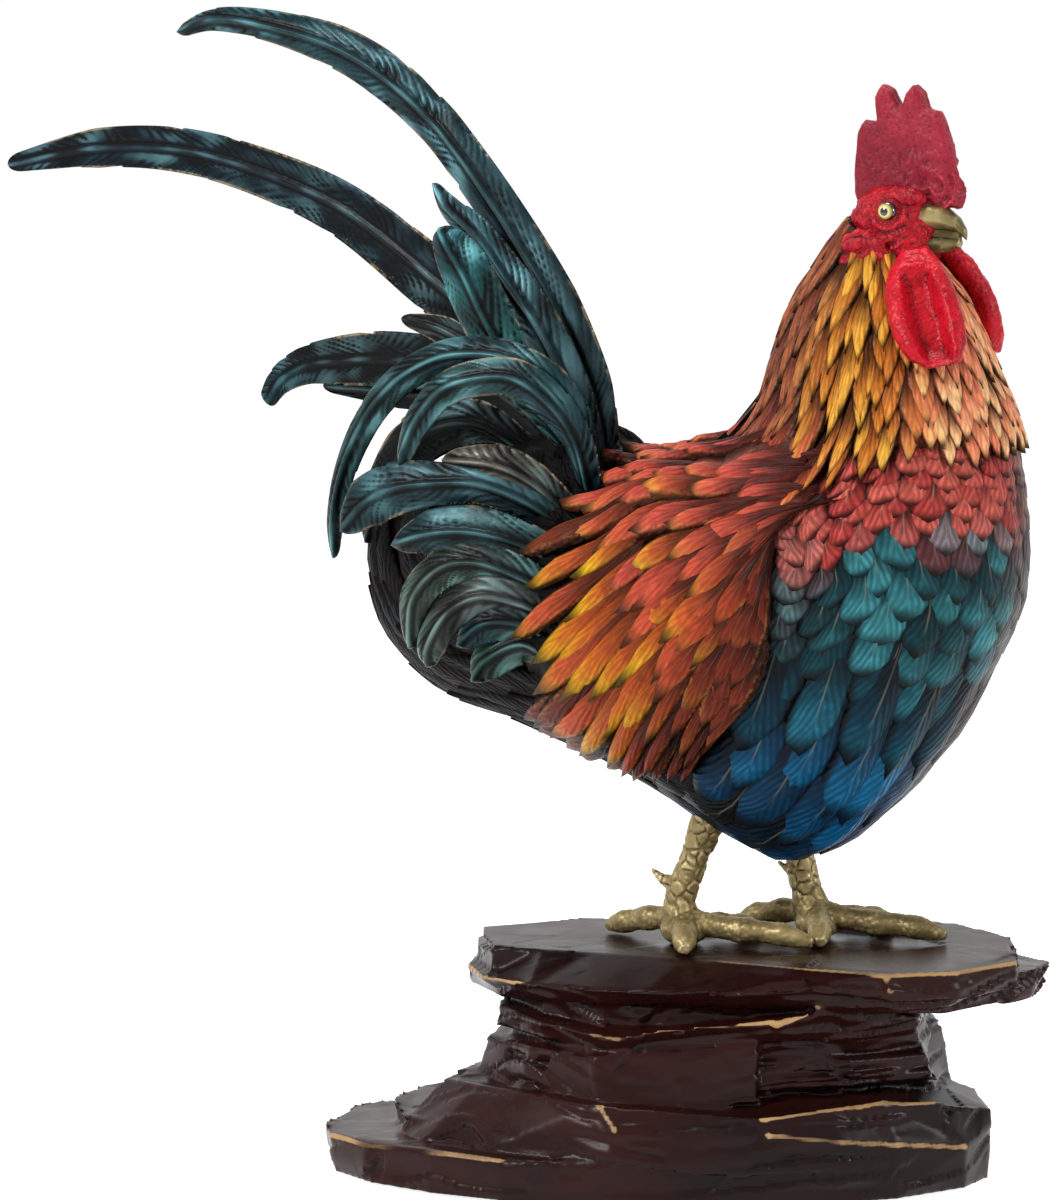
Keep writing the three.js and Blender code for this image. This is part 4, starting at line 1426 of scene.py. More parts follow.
def breast_ramp(feather: Feather) -> Ramp:
    """The breast: maroon scales, then teal ones, then large blue feathers.

    Args:
        feather: One of them.

    Returns:
        Its colours.
    """
    along, side = feather.tip, feather.across * 2 - 1
    teal = smooth(0.22, 0.28, along + (feather.mood - 0.5) * 0.05)
    ramp = blend(BREAST_MAROON, BREAST_TEAL, teal)
    ramp = blend(ramp, BREAST_NAVY, smooth(0.42, 0.56, along))
    ramp = blend(ramp, BREAST_BLUE, smooth(0.56, 0.78, along))
    # Painted shade: ash over the far side of the breast, which turns from the light.
    far = smooth(-0.1, 0.15, side) * smooth(0.6, 0.35, side)
    ramp = blend(ramp, BREAST_ASH, far * 0.85)
    ramp = blend(ramp, BREAST_ASH, smooth(-0.75, -1.0, side) * smooth(0.5, 0.3, along) * 0.5)
    return blend(ramp, FLUFF, smooth(-0.36, -0.54, side) * smooth(0.66, 0.8, along))


LANCE = Leaf(0.6, 0.5, 0.1, crown=1.3, rise=2.4)
BROAD_LANCE = Leaf(0.75, 0.66, 0.85, crown=2.6, rise=3.4, rim=2.6)
SCALE = Leaf(0.85, 0.76, 1.0, crown=1.7, rise=3.0, rim=2.0)
OVAL = Leaf(0.75, 0.74, 1.0, crown=3.2, rise=4.0, rim=2.8)
TUFT = Leaf(0.6, 0.4, 0.25, crown=1.2, rise=2.6, rim=1.8)


@dataclass
class Plumage:
    """The cast feathers of the cape, breast, rump and wings."""

    cape_rows: int = 11
    cape_first: float = 0.14
    cape_last: float = 1.06
    cape_reach: float = 0.36
    cape_width: tuple[float, float] = (5.2, 8.4)
    wing_tips: Sequence[float] = (0.26, 0.38, 0.5, 0.62, 0.74, 0.87, 1.0)
    wing_reach: float = 0.42
    wing_width: float = 9.4
    hem_reach: float = 0.3
    fluff_rows: int = 6
    scale_tips: Sequence[float] = (
        0.03, 0.06, 0.09, 0.12, 0.15, 0.18, 0.21, 0.24, 0.28, 0.325, 0.37, 0.42, 0.47, 0.53,
    )
    oval_tips: Sequence[float] = (0.6, 0.68, 0.76, 0.86, 0.97)

    def dress(self) -> None:
        """Makes and places all the plumage."""
        hackle = FeatherPaint("hackle_paint_gloss", 0.1, -0.7, contrast=0.28, quill="7a2c18",
                              quill_share=0.3, rubbed_share=0.25, root=(0.3, 0.74))
        breast = FeatherPaint("breast_paint_gloss", 0.18, -0.5, contrast=0.4, quill="b8b49c",
                              quill_width=0.45, quill_share=0.4, metallic=0.1, root=(0.36, 0.84))
        rump = FeatherPaint("rump_paint_gloss", 0.2, -0.6, quill="0c1012", rough=0.5,
                            specular=0.05)
        wing = FeatherPaint("wing_paint_gloss", 0.1, -0.6, contrast=0.26, quill_share=0.15,
                            rubbed="d8a058", rubbed_share=0.35, root=(0.36, 0.84))
        finish_piece(self.cape(), hackle.make(), Slot.HACKLE, "neck_cape")
        finish_piece(self.breast(), breast.make(), Slot.BREAST, "breast_casting")
        finish_piece(self.rump(), rump.make(), Slot.RUMP, "rump_casting")
        coat = wing.make()
        for side in Side:
            finish_piece(self.wing(side), coat, Slot.WING, f"wing_{side.name.lower()}")

    def cape(self) -> Object:
        """The neck with its hackles.

        Returns:
            The finished piece.
        """
        shape = new_shape()
        # Dark skin under the feathers, seen only in the gaps between them: painted shade.
        bare_skin(shape, 0.0, 3.9, -0.6, paint("3a150e"))
        rows = []
        for i in range(self.cape_rows):
            share = i / (self.cape_rows - 1)
            tip = lerp(self.cape_first, self.cape_last, share)
            width = lerp(*self.cape_width, share)
            rows.append(Row(tip, self.cape_reach, width, lift=0.5 * share))
        Patch(cape_place, LANCE, rows, cape_ramp, HACKLE_SHADING, seed=11, base=-0.2, wraps=True,
              jitter=0.6, scatter=0.04).fill(shape)
        return to_object(shape, "hackle_cape")

    def breast(self) -> Object:
        """The breast with its scales and large belly feathers.

        Returns:
            The finished piece.
        """
        shape = new_shape()
        # Dark skin under the feathers, seen only in the gaps between them: painted shade.
        bare_skin(shape, 3.7, WAIST + 0.6, -3.2, paint("081014"))
        last = self.scale_tips[-1]
        scales = [Row(tip, 0.1 + 0.1 * tip / last, 10.5 + 8.0 * tip / last)
                  for tip in self.scale_tips]
        ovals = [Row(tip, 0.2 + 0.12 * tip, 16.0 + 6.0 * tip) for tip in self.oval_tips]
        Patch(breast_place, SCALE, scales, breast_ramp, BREAST_SHADING, seed=23, jitter=0.3,
              base=-2.8).fill(shape)
        Patch(breast_place, OVAL, ovals, breast_ramp, BREAST_SHADING, seed=24, jitter=0.25,
              base=-3.2).fill(shape)
        return to_object(shape, "breast_plumage")

    def rump(self) -> Object:
        """The rump with its dark fluff.

        Returns:
            The finished piece.
        """
        shape = new_shape()
        # Dark skin under the feathers, seen only in the gaps between them: painted shade.
        bare_skin(shape, WAIST - 0.4, len(STATIONS) - 1.0, -0.6, paint("060607"))
        last = self.fluff_rows - 1
        rows = [Row(0.25 + 0.75 * i / last, 0.4, 11.0) for i in range(self.fluff_rows)]
        Patch(rump_place, TUFT, rows, lambda feather: FLUFF, FLUFF_SHADING, seed=31, wraps=True,
              jitter=0.6, scatter=0.04).fill(shape)
        return to_object(shape, "rump_fluff")

    def wing(self, side: Side) -> Object:
        """One wing with its long feathers.

        Args:
            side: Which wing.

        Returns:
            The finished piece.
        """
        place = wing_place(side)
        shape = new_shape()
        # Dark undercoat under the feathers, seen only in the gaps between them: painted shade.
        undercoat(shape, place, 16, 20, (WING_LIFT - 0.6, 0.7), paint("2a0c0a"))
        rows = [Row(1.09, 0.3, 9.5, start=0.5, end=1.0, lift=-1.8)]
        for tip in self.wing_tips:
            lift = lerp(-2.4, 0.4, smooth(0.2, 0.6, tip))
            rows.append(Row(tip, self.wing_reach, self.wing_width, start=-0.02, lift=lift))
        Patch(place, BROAD_LANCE, rows, wing_ramp, WING_SHADING, seed=47, base=WING_LIFT,
              jitter=0.35, spacing=0.9, scatter=0.05).fill(shape)
        return to_object(shape, f"wing_plumage_{side.name.lower()}")


# The tail


@dataclass(frozen=True)
class Plume:
    """One plume: the points of its quill, its half widths and its colours at root and tip."""

    node: str
    quill: Sequence[Point]
    halves: Sequence[float]
    root: str = "16262c"
    tip: str = "1d3c44"
    turn: tuple[float, float] = (0.0, 0.8)  # shares along between which it takes the tip's colour

    def mirrored(self, node: str) -> Plume:
        """The same plume on the other side."""
        return replace(self, node=node, quill=[(x, -y, z) for x, y, z in self.quill])


TEAL, SLATE, NAVY, SOOT = "1c4048", "2c4248", "12242e", "0d1012"

PLUMES = (
    Plume("sickle_upper", (
        (-23, -6, 214), (-24, -7, 224), (-28, -8, 239), (-39, -9, 261), (-54, -10, 284),
        (-72, -11, 307), (-83, -11, 318), (-98, -12, 329.6), (-115, -13, 338.2), (-137, -14, 344),
        (-157, -15, 346), (-170, -16, 342),
    ), (5, 6, 7.4, 8.4, 7.6, 7.2, 7.2, 7.4, 6.8, 5, 3.6, 1.8), SLATE, TEAL),
    Plume("sickle_lower", (
        (-34, 6, 210), (-54, 9, 230), (-77, 12, 252), (-100, 14, 269), (-130, 16, 287),
        (-162, 18, 298), (-193, 20, 304), (-226, 22, 304), (-263, 24, 298),
    ), (5.4, 7.6, 9.8, 10, 8.8, 7.8, 7.2, 6.4, 2.6), SOOT, NAVY),
    Plume("sickle_short", (
        (-24, -10, 211), (-29, -13, 232), (-39, -15, 252), (-51, -16, 268), (-62, -17, 282),
        (-71, -18, 290), (-76, -18, 297),
    ), (4.2, 6, 7.3, 7, 5.4, 3.6, 1.2), SLATE, "3a6068"),
    Plume("main_tail_oval", (
        (-32, -14, 220), (-44, -20, 238), (-54, -23, 256), (-62, -24, 271), (-68, -24, 280),
        (-70, -24, 284),
    ), (4.2, 7.3, 9.4, 9.1, 6, 2.7), "3f7876", "1c5258"),
    Plume("side_plume_left", (
        (-40, 14, 209), (-73, 22, 229), (-97, 26, 238), (-121, 28, 239), (-137, 29, 238),
        (-151, 30, 236), (-161, 30, 231), (-167, 30, 223),
    ), (4.2, 7.3, 8.8, 9, 8, 6.2, 4.8, 3), SOOT, TEAL, (0.6, 0.95)),
    Plume("inner_plume_upper", (
        (-42, 0, 219), (-61, 2, 238), (-83, 3, 250), (-100, 3, 254),
    ), (3, 4.6, 5, 1.6), SOOT, SOOT),
    Plume("inner_plume_middle", (
        (-44, 20, 203), (-60, 24, 216), (-88, 30, 226), (-120, 35, 228), (-150, 37, 229),
    ), (2.6, 3.6, 4.8, 5, 1.8), SOOT, SOOT),
    Plume("inner_plume_lower", (
        (-41, -4, 208), (-65, -9, 223), (-86, -11, 218), (-97, -12, 202), (-104, -12, 185),
    ), (4, 7.5, 8.5, 8, 3), SOOT, SOOT),
    Plume("arc_plume_outer", (
        (-21, -18, 209), (-23, -23, 227), (-30, -28, 239), (-44, -31, 246), (-61, -33, 246),
        (-75, -35, 240), (-85, -36, 231), (-92, -37, 220), (-97, -38, 207), (-99, -39, 194),
        (-99, -39, 183),
    ), (4, 5.2, 5.8, 5.4, 5.2, 5, 4.8, 4.4, 3.8, 3.2, 1.5), "24464c", "2a4c50"),
    Plume("arc_plume_inner", (
        (-19, -22, 206), (-20, -29, 222), (-26, -34, 233), (-36, -37, 240), (-48, -39, 240),
        (-59, -41, 236), (-68, -42, 226), (-73, -43, 213),
    ), (4, 5.6, 6.4, 6, 5.6, 5.2, 4.6, 2.4), "24424a", "34585a"),
)
COVERTS = (
    Plume("covert_right_1", (
        (-23, -26, 194), (-34, -34, 203), (-47, -39, 208), (-61, -42, 208), (-74, -44, 206),
        (-84, -45, 201), (-92, -46, 192),
    ), (3, 3.9, 3.9, 4.2, 5.1, 5.1, 1.8), "28444c", "2c4a50"),
    Plume("covert_right_2", (
        (-23, -26, 199), (-32, -34, 209), (-43, -38, 214), (-60, -40, 215),
    ), (2.7, 3.9, 4.2, 1.8), "3a4c4c", "6a6458"),
    Plume("covert_right_3", (
        (-21, -34, 184), (-32, -41, 191), (-47, -44, 194), (-61, -46, 193), (-74, -46, 189),
    ), (3.6, 4.5, 5.1, 4.5, 1.5), "2c4a4a", "1e3a40"),
    Plume("covert_right_4", (
        (-21, -37, 175), (-31, -42, 181), (-44, -45, 185), (-56, -47, 183), (-65, -48, 173),
        (-67, -47, 158),
    ), (3, 3.9, 4.2, 3.9, 3.6, 1.8), "2e4848", "3e4a40"),
    Plume("covert_right_5", (
        (-21, -38, 168), (-30, -43, 173), (-42, -47, 175), (-52, -49, 170), (-59, -49, 160),
        (-60, -48, 153),
    ), (3, 3.9, 3.9, 3.6, 3.3, 1.8), "4c5252", "3a4038"),
    Plume("covert_right_6", (
        (-22, -38, 162), (-30, -43, 167), (-41, -47, 167), (-50, -48, 160),
    ), (3, 3.9, 3.9, 1.8), "46524e", "24484e"),
    Plume("covert_right_7", (
        (-23, -37, 157), (-31, -42, 161), (-41, -45, 156), (-47, -44, 149),
    ), (3, 3.9, 3.9, 1.8), "3c4440", "2a4a40"),
)


@dataclass
class Tail:
    """The plumes and coverts, each a blade with barbs cut in its vanes."""

    step: float = 0.6  # millimetres between the rings of a blade
    around: int = 48
    thick: float = 1.45
    barb_pitch: float = 4.2
    barb_slant: float = 2.2
    barb_depth: float = 0.9
    covert_spread: float = 1.6
    split_gap: float = 20.0
    split_depth: tuple[float, float] = (0.03, 0.1)
    split_length: tuple[float, float] = (4.0, 9.0)
    tip_length: float = 5.0
    quill_height: float = 0.6
    quill_width: float = 0.7
    gutter_at: float = 1.5  # millimetres from the quill to the groove beside it
    gutter_width: float = 0.6
    gutter_depth: float = 0.35

    def dress(self) -> None:
        """Makes and places every plume and covert."""
        coat = BladePaint("tail_paint_gloss").make()
        spread = self.covert_spread
        right = [replace(p, halves=[half * spread for half in p.halves]) for p in COVERTS]
        left = [p.mirrored(p.node.replace("right", "left")) for p in right]
        for number, plume in enumerate((*PLUMES, *right, *left)):
            piece = self.blade(plume, number)
            finish_piece(piece, coat, Slot.TAIL, plume.node)

    def splits(self, length: float, chance: random.Random) -> list[tuple[float, int, float, float]]:
        """Where a blade's vanes are torn open.

        Args:
            length: The blade's length in millimetres.
            chance: The source of random numbers.

        Returns:
            For each split its place along, its side, its depth as a share and its length.
        """
        found = []
        at = chance.uniform(0.4, 1.0) * self.split_gap
        while at < length - 8:
            found.append((at, chance.choice((-1, 1)), chance.uniform(*self.split_depth),
                          chance.uniform(*self.split_length)))
            at += chance.uniform(0.5, 1.4) * self.split_gap
        return found

    def blade(self, plume: Plume, seed: int) -> Object:
        """One plume.

        Args:
            plume: Its form.
            seed: Tells it from the others.

        Returns:
            The finished blade.
        """
        chance = random.Random(100 + seed)
        curve = Curve(plume.quill)
        length = curve.length()
        splits = self.splits(length, chance)
        root, tip = paint(plume.root), paint(plume.tip)
        shape = new_shape()
        stamp = Stamp(shape)
        rings: dict[int, tuple[Vector, Vector, Vector, float]] = {}
        steps = max(12, round(length / self.step))
        for vertex in grid(shape, steps, self.around):
            s, turn = vertex.co.x, vertex.co.y
            ring = round(s * steps)
            far = s * length
            if ring not in rings:
                centre, along = curve.at(s), curve.heading(s)
                outward = Vector((0, -1 if centre.y < 0 else 1, 0))
                across = along.cross(outward).normalized()
                past = min(max((far - length + self.tip_length) / self.tip_length, 0.0), 1.0)
                half = keyed(plume.halves, s) * max((1 - past * past) ** 0.5, 0.05)
                rings[ring] = (centre, across, across.cross(along).normalized(), half)
            centre, across, out, half = rings[ring]
            upper = turn <= 0.5
            raw = (turn if upper else 1 - turn) * 4 - 1
            c = math.copysign(min(abs(raw) ** 1.15, 1.0), raw)
            side = 1 if c > 0 else -1
            height, carve = self.section(c, half, far, seed, upper)
            for at, where, deep, reach in splits:
                if side == where and at < far < at + reach:
                    c *= 1 - deep * (1 - (far - at) / reach) * abs(c)
            taper = min(1.0, 0.3 + half / 5)
            vertex.co = centre + across * (c * half) + out * (height * taper)
            stamp.mark(vertex, root.lerp(tip, smooth(*plume.turn, s)), (s, c, carve),
                       (far, c * half, seed * 3.7))
        close(shape)
        return to_object(shape, f"{plume.node}_blade")

    def section(
        self, c: float, half: float, far: float, seed: int, upper: bool
    ) -> tuple[float, float]:
        """The height of a blade's face.

        Args:
            c: Share across, from -1 to 1.
            half: Half width in millimetres.
            far: Millimetres along.
            seed: The blade's number.
            upper: Whether this is the outer face.

        Returns:
            The height in millimetres and the relief as a share from 0 in hollows to 1 on crests.
        """
        off = abs(c) * half
        edge = smooth(1.0, 0.88, abs(c))
        quill = self.quill_height * math.exp(-((off / self.quill_width) ** 2))
        gutter = math.exp(-(((off - self.gutter_at) / self.gutter_width) ** 2)) * edge
        wander = noise.noise(Vector((far * 0.05, off * 0.12 * (1 if c > 0 else -1), seed * 5.3)))
        phase = (far - off * self.barb_slant) / self.barb_pitch + wander * 2.2
        deep = 0.42 + 1.5 * noise.noise(Vector((phase * 0.4, c * 1.6, seed * 2.1)))
        ridge = abs(math.sin(math.pi * phase)) ** 0.6
        fade = smooth(0.8, 2.6, off) * edge
        groove = (1 - ridge) * min(max(deep, 0.12), 1.0) * fade
        proud = (quill - self.gutter_depth * gutter) * edge - groove * self.barb_depth
        if upper:
            height = self.thick * (1.05 - 1.8 * abs(c) ** 1.7) + proud
        else:
            height = -self.thick * (0.6 + 0.15 * c * c) - proud * 0.7
        carve = 0.62 + 0.3 * edge * (quill - 0.4) * smooth(1.6, 0.5, off)
        carve += 0.45 * noise.noise(Vector((far * 0.09, c * 1.4, seed * 1.1)))
        carve -= groove * 0.75 + gutter * 0.42
        return height, min(max(carve, 0.0), 1.0)


# Head, legs and plinth

UPRIGHT = Matrix.Identity(4)


def ball(shape: BMesh, centre: Point, radii: Point, lean: float = 0.0) -> None:
    """Adds an ellipsoid.

    Args:
        shape: The mesh that gets it.
        centre: Its middle.
        radii: Half its size along X, Y and Z.
        lean: Degrees that it leans forward.
    """
    place = Matrix.Translation(centre) @ Matrix.Rotation(math.radians(lean), 4, "Y")
    place @= Matrix.Diagonal((*radii, 1))
    bmesh.ops.create_uvsphere(shape, u_segments=32, v_segments=20, radius=1, matrix=place)


def limb(
    shape: BMesh, points: Sequence[Sequence[float]], radii: Sequence[float]
) -> None:
    """Adds a round limb along points.

    Args:
        shape: The mesh that gets it.
        points: Its middle line.
        radii: Its radii, spread evenly along the line.
    """
    part = new_shape()
    curve = Curve(points)
    chord = (Vector(points[-1]) - Vector(points[0])).normalized()
    level = Vector((0.13, 0.21, 1)) if abs(chord.z) < 0.7 else Vector((1, 0.2, 0))
    for vertex in grid(part, 24, 16):
        s, turn = vertex.co.x, vertex.co.y * math.tau
        along = curve.heading(s)
        side = along.cross(level).normalized()
        spread = side * math.cos(turn) + side.cross(along) * math.sin(turn)
        vertex.co = curve.at(s) + spread * keyed(radii, s)
    close(part)
    join(shape, part)


def plate(shape: BMesh, outline: Sequence[Point]) -> list[BMVert]:
    """Adds a closed block on an outline, with both its faces still in one place.

    Args:
        shape: The mesh that gets it.
        outline: The corners of a face.

    Returns:
        The corners of the other face, to be moved away.
    """
    corners = [shape.verts.new(p) for p in outline]
    face = bmesh.ops.contextual_create(shape, geom=corners)["faces"]
    made = bmesh.ops.extrude_face_region(shape, geom=face, use_keep_orig=True)["geom"]
    return [v for v in made if isinstance(v, BMVert)]


def ridged(place: Vector, scale: float, seed: float = 0.0) -> float:
    """Noise with sharp creases, from 0 in a crease to 1, at a place in millimetres."""
    return abs(noise.noise(place / scale + Vector((seed, seed * 0.7, -seed)))) * 2


def cell_gap(place: Vector, scale: float) -> float:
    """How far a place is from the edge between scales, from 0 on the edge."""
    near = noise.voronoi(place / scale)[0]
    return near[1] - near[0]


def to_bird(place: Vector) -> Vector:
    """Brings a place in millimetres from the world to the bird's own frame."""
    return Matrix.Rotation(-BIRD_TURN, 4, "Z") @ place


@dataclass(frozen=True)
class BeakHalf:
    """One half of the beak, by evenly spaced keys from its root to its tip."""

    node: str
    places: Sequence[float]
    tops: Sequence[float]
    lows: Sequence[float]
    halves: Sequence[float]
    tongue: float = 0.0  # height of the tongue on it

    def build(self) -> Object:
        """Makes the half.

        Returns:
            The finished piece.
        """
        shape = new_shape()
        for vertex in grid(shape, 24, 24):
            s, turn = vertex.co.x, vertex.co.y * math.tau
            top, low, half = keyed(self.tops, s), keyed(self.lows, s), keyed(self.halves, s)
            across, up = math.cos(turn), math.sin(turn)
            rise = (top + low) / 2 + up * ((top - low) / 2)
            spot = Vector((keyed(self.places, s), across * half, rise))
            spot.z += self.tongue * smooth(0.75, 0.45, abs(across)) * max(up, 0)
            spot.z += 0.12 * noise.noise(spot / 1.5)
            vertex.co = spot
        close(shape)
        thing = to_object(shape, f"{self.node}_half")
        write_stand(thing, crests(thing))
        return thing


@dataclass
class Head:
    """The head with its comb, wattles, lobes, beak and eyes."""

    skull: tuple[Point, Point] = ((72, 0, 285.5), (14, 13, 14))
    bulges: Sequence[tuple[Point, Point]] = (
        ((77, 6.5, 295.2), (7.5, 4, 3.6)), ((77, -6.5, 295.2), (7.5, 4, 3.6)),
        ((78, 8, 281.5), (6.5, 4.2, 5.5)), ((78, -8, 281.5), (6.5, 4.2, 5.5)),
        ((80, 0, 289.3), (6.8, 6.6, 6.2)),
    )
    comb_points: Sequence[tuple[float, float]] = (
        (62, 288), (58.9, 296), (58.6, 305), (59.6, 314.4), (62, 318), (65.8, 317.2),
        (65.2, 324.6), (67.4, 328.6), (70.6, 327), (73.9, 321), (75.2, 325.6), (78, 328.6),
        (80.8, 326), (82.2, 321.4), (86, 320.8), (88.2, 315.6), (91.4, 306),
        (93.4, 299.6), (94, 296), (92.8, 292), (90, 291.6), (84, 291), (80, 288),
    )
    comb_thick: float = 6.6
    comb_round: float = 1.8
    lobe: tuple[Point, Point] = ((68.5, 13.5, 279), (8, 4.5, 7))
    eye: Point = (74.5, 11.6, 291.5)
    eye_radius: float = 2.9
    beak: Sequence[BeakHalf] = (
        BeakHalf("beak_upper", (74, 82, 87.5, 92, 94.6), (293, 294.4, 293, 290, 286.6),
                 (284.6, 285.6, 286, 285.4, 283), (8.6, 7.2, 5.2, 2.8, 0.8)),
        BeakHalf("beak_lower", (75, 82, 88, 92.8), (284.2, 284.6, 284.4, 283.4),
                 (279, 278.8, 279.4, 281), (7.6, 6.4, 4.4, 1.4), tongue=2.2),
    )
    wattle_line: Sequence[Point] = (
        (82, 9, 281), (83, 14, 275), (85, 18.5, 268), (87, 21, 260), (88.5, 22.5, 252.5),
        (89.5, 22.5, 248),
    )
    wattle_swing: Sequence[float] = (9.0, 0.5)  # how far each hangs forward, right and left
    wattle_halves: Sequence[float] = (4, 8.2, 10.2, 10.9, 9.2, 5)
    wattle_thick: float = 3.4

    def dress(self) -> None:
        """Makes and places the whole head."""
        face = CastPaint("face_enamel", "2e0408", "b4101f", "94081a", "d83040", grain=500,
                         edge_from=0.02, edge_to=0.12, rough=0.36, depth=0.0003, pores=1100)
        comb = CastPaint("comb_enamel", "34060e", "9a2a3a", "842330", "d84854", grain=300,
                         edge_from=0.02, edge_to=0.14, rough=0.4, depth=0.00015, pores=800,
                         specular=0.12)
        wattle = CastPaint("wattle_enamel", "40060c", "c41426", "a8101e", "e43c48", grain=500,
                           edge_from=0.02, edge_to=0.1, rough=0.34, depth=0.00015, pores=900,
                           specular=0.16)
        brass = CastPaint("beak_brass", "14120a", "6a5c3c", "504630", "a89868", grain=300,
                          edge_from=0.01, edge_to=0.1, rough=0.36, metallic=0.4, depth=0.0001)
        enamel, horn, dish, skin = EyeEnamel().make(), brass.make(), wattle.make(), face.make()
        finish_piece(self.skull_piece(), skin, Slot.COMB, "head")
        finish_piece(self.comb(), comb.make(), Slot.COMB, "comb")
        for half in self.beak:
            finish_piece(half.build(), horn, Slot.BRASS, half.node)
        for side in Side:
            name = side.name.lower()
            finish_piece(self.wattle(side), dish, Slot.COMB, f"wattle_{name}")
            finish_piece(self.ear_lobe(side), skin, Slot.COMB, f"ear_lobe_{name}")
            finish_piece(self.eyeball(side), enamel, Slot.EYE, f"eye_{name}")

    def wrinkles(self, place: Vector, normal: Vector) -> float:
        """The face's folds: rings round the eyes and creases elsewhere.

        Args:
            place: The place in millimetres.
            normal: The skin's normal there; not used.

        Returns:
            The move in millimetres.
        """
        spot = to_bird(place)
        spot.y = abs(spot.y)
        far = (spot - Vector(self.eye)).length
        rings = math.cos(math.tau * far / 2.6) * 0.25 * smooth(9.0, 4.5, far)
        folds = (ridged(spot, 4.2) - 0.5) * 0.75 + (ridged(spot, 1.9, 3.1) - 0.5) * 0.35
        return rings + folds * smooth(3.5, 6.5, far)

    def skull_piece(self) -> Object:
        """The bare face and throat.

        Returns:
            The finished piece.
        """
        shape = bmesh.new()
        ball(shape, *self.skull)
        for centre, radii in self.bulges:
            ball(shape, centre, radii)
        return carve(to_object(shape, "face_and_throat"), 0.55, 3, self.wrinkles)

    def pits(self, place: Vector, normal: Vector) -> float:
        """The comb's pebbled skin, deeper near the beak.

        Args:
            place: The place in millimetres.
            normal: The skin's normal there; not used.

        Returns:
            The move in millimetres.
        """
        spot = to_bird(place)
        near = smooth(318, 296, spot.z) * smooth(64, 84, spot.x)
        pebble = min(cell_gap(spot, 2.2), 0.4) * (0.15 + near)
        streak = ridged(Vector((spot.x + spot.z * 0.3, spot.y, spot.z / 5)), 3.0, 4.0)
        return pebble * 0.9 - ridged(spot, 5.5, 2.0) * 1.9 * near - streak * 0.3 - 0.1

    def comb(self) -> Object:
        """The comb, a plate with lobes on its top edge.

        Returns:
            The finished piece.
        """
        shape = bmesh.new()
        half = self.comb_thick / 2
        far = plate(shape, [(x, -half, z) for x, z in self.comb_points])
        bmesh.ops.translate(shape, verts=far, vec=(0, self.comb_thick, 0))
        bmesh.ops.recalc_face_normals(shape, faces=shape.faces)
        rims = [e for e in shape.edges if abs(e.verts[0].co.y - e.verts[1].co.y) < 1e-3]
        bmesh.ops.bevel(shape, geom=rims, offset=self.comb_round, segments=4, profile=0.5,
                        affect="EDGES", material=-1, clamp_overlap=True)
        return carve(to_object(shape, "comb_plate"), 0.55, 6, self.pits)

    def wattle(self, side: Side) -> Object:
        """One wattle, a dished lobe with a rolled rim.

        Args:
            side: Which wattle.

        Returns:
            The finished piece.
        """
        shape = new_shape()
        line = Curve(self.wattle_line)
        swing = self.wattle_swing[0 if side is Side.RIGHT else 1]
        for vertex in grid(shape, 40, 48):
            s, turn = vertex.co.x, vertex.co.y * 2
            outer = turn <= 1
            c = (turn if outer else 2 - turn) * 2 - 1
            c = math.sin(c * math.pi / 2)
            half = keyed(self.wattle_halves, s)
            end = smooth(0.8, 1.0, s)
            rim = max(smooth(0.25, 0.6, abs(c)), end, smooth(0.35, 0.15, s))
            roll = math.sqrt(max(1 - ((abs(c) - 0.6) / 0.4) ** 2, 0)) if abs(c) > 0.6 else 1
            tall = self.wattle_thick * (lerp(-0.45, 1.25, rim) if outer else -1) * roll
            centre = line.at(s)
            a = c * half
            spot = centre + Vector((0.85 * a + 0.5 * tall, -0.5 * a + 0.85 * tall, 0.2 * a))
            spot.x += swing * s
            vertex.co = (spot.x, spot.y * side.value, spot.z)
        close(shape)
        thing = to_object(shape, f"wattle_lobe_{side.name.lower()}")

        def pebbles(place: Vector, normal: Vector) -> float:
            """The wattle's pebbled skin."""
            spot = to_bird(place)
            return min(cell_gap(spot, 1.7), 0.4) * 0.5 + (ridged(spot, 7, 1.0) - 0.5) * 0.4 - 0.15

        return carve(thing, 0.6, 4, pebbles)

    def ear_lobe(self, side: Side) -> Object:
        """One ear lobe.

        Args:
            side: Which lobe.

        Returns:
            The finished piece.
        """
        shape = bmesh.new()
        (x, y, z), radii = self.lobe
        ball(shape, (x, y * side.value, z), radii, 20)
        thing = to_object(shape, f"ear_lobe_skin_{side.name.lower()}")
        return carve(thing, 0.6, 2,
                     lambda place, normal: (ridged(to_bird(place), 4.5, 5.0) - 0.5) * 1.6)

    def eyeball(self, side: Side) -> Object:
        """One eye, with the share from its middle kept for its paint.

        Args:
            side: Which eye.

        Returns:
            The finished piece.
        """
        shape = bmesh.new()
        x, y, z = self.eye
        radius = self.eye_radius
        ball(shape, (x, y * side.value, z), (radius, radius * 0.8, radius))
        far = [math.hypot(v.co.x - x, v.co.z - z) / radius for v in shape.verts]
        thing = to_object(shape, f"eye_glass_{side.name.lower()}")
        write_stand(thing, np.array(far))
        return thing


@dataclass(frozen=True)
class Foot:
    """Where one leg stands and how it bends."""

    side: Side
    sole: tuple[float, float]
    ankle: Point
    knee: Point
    hip: Point


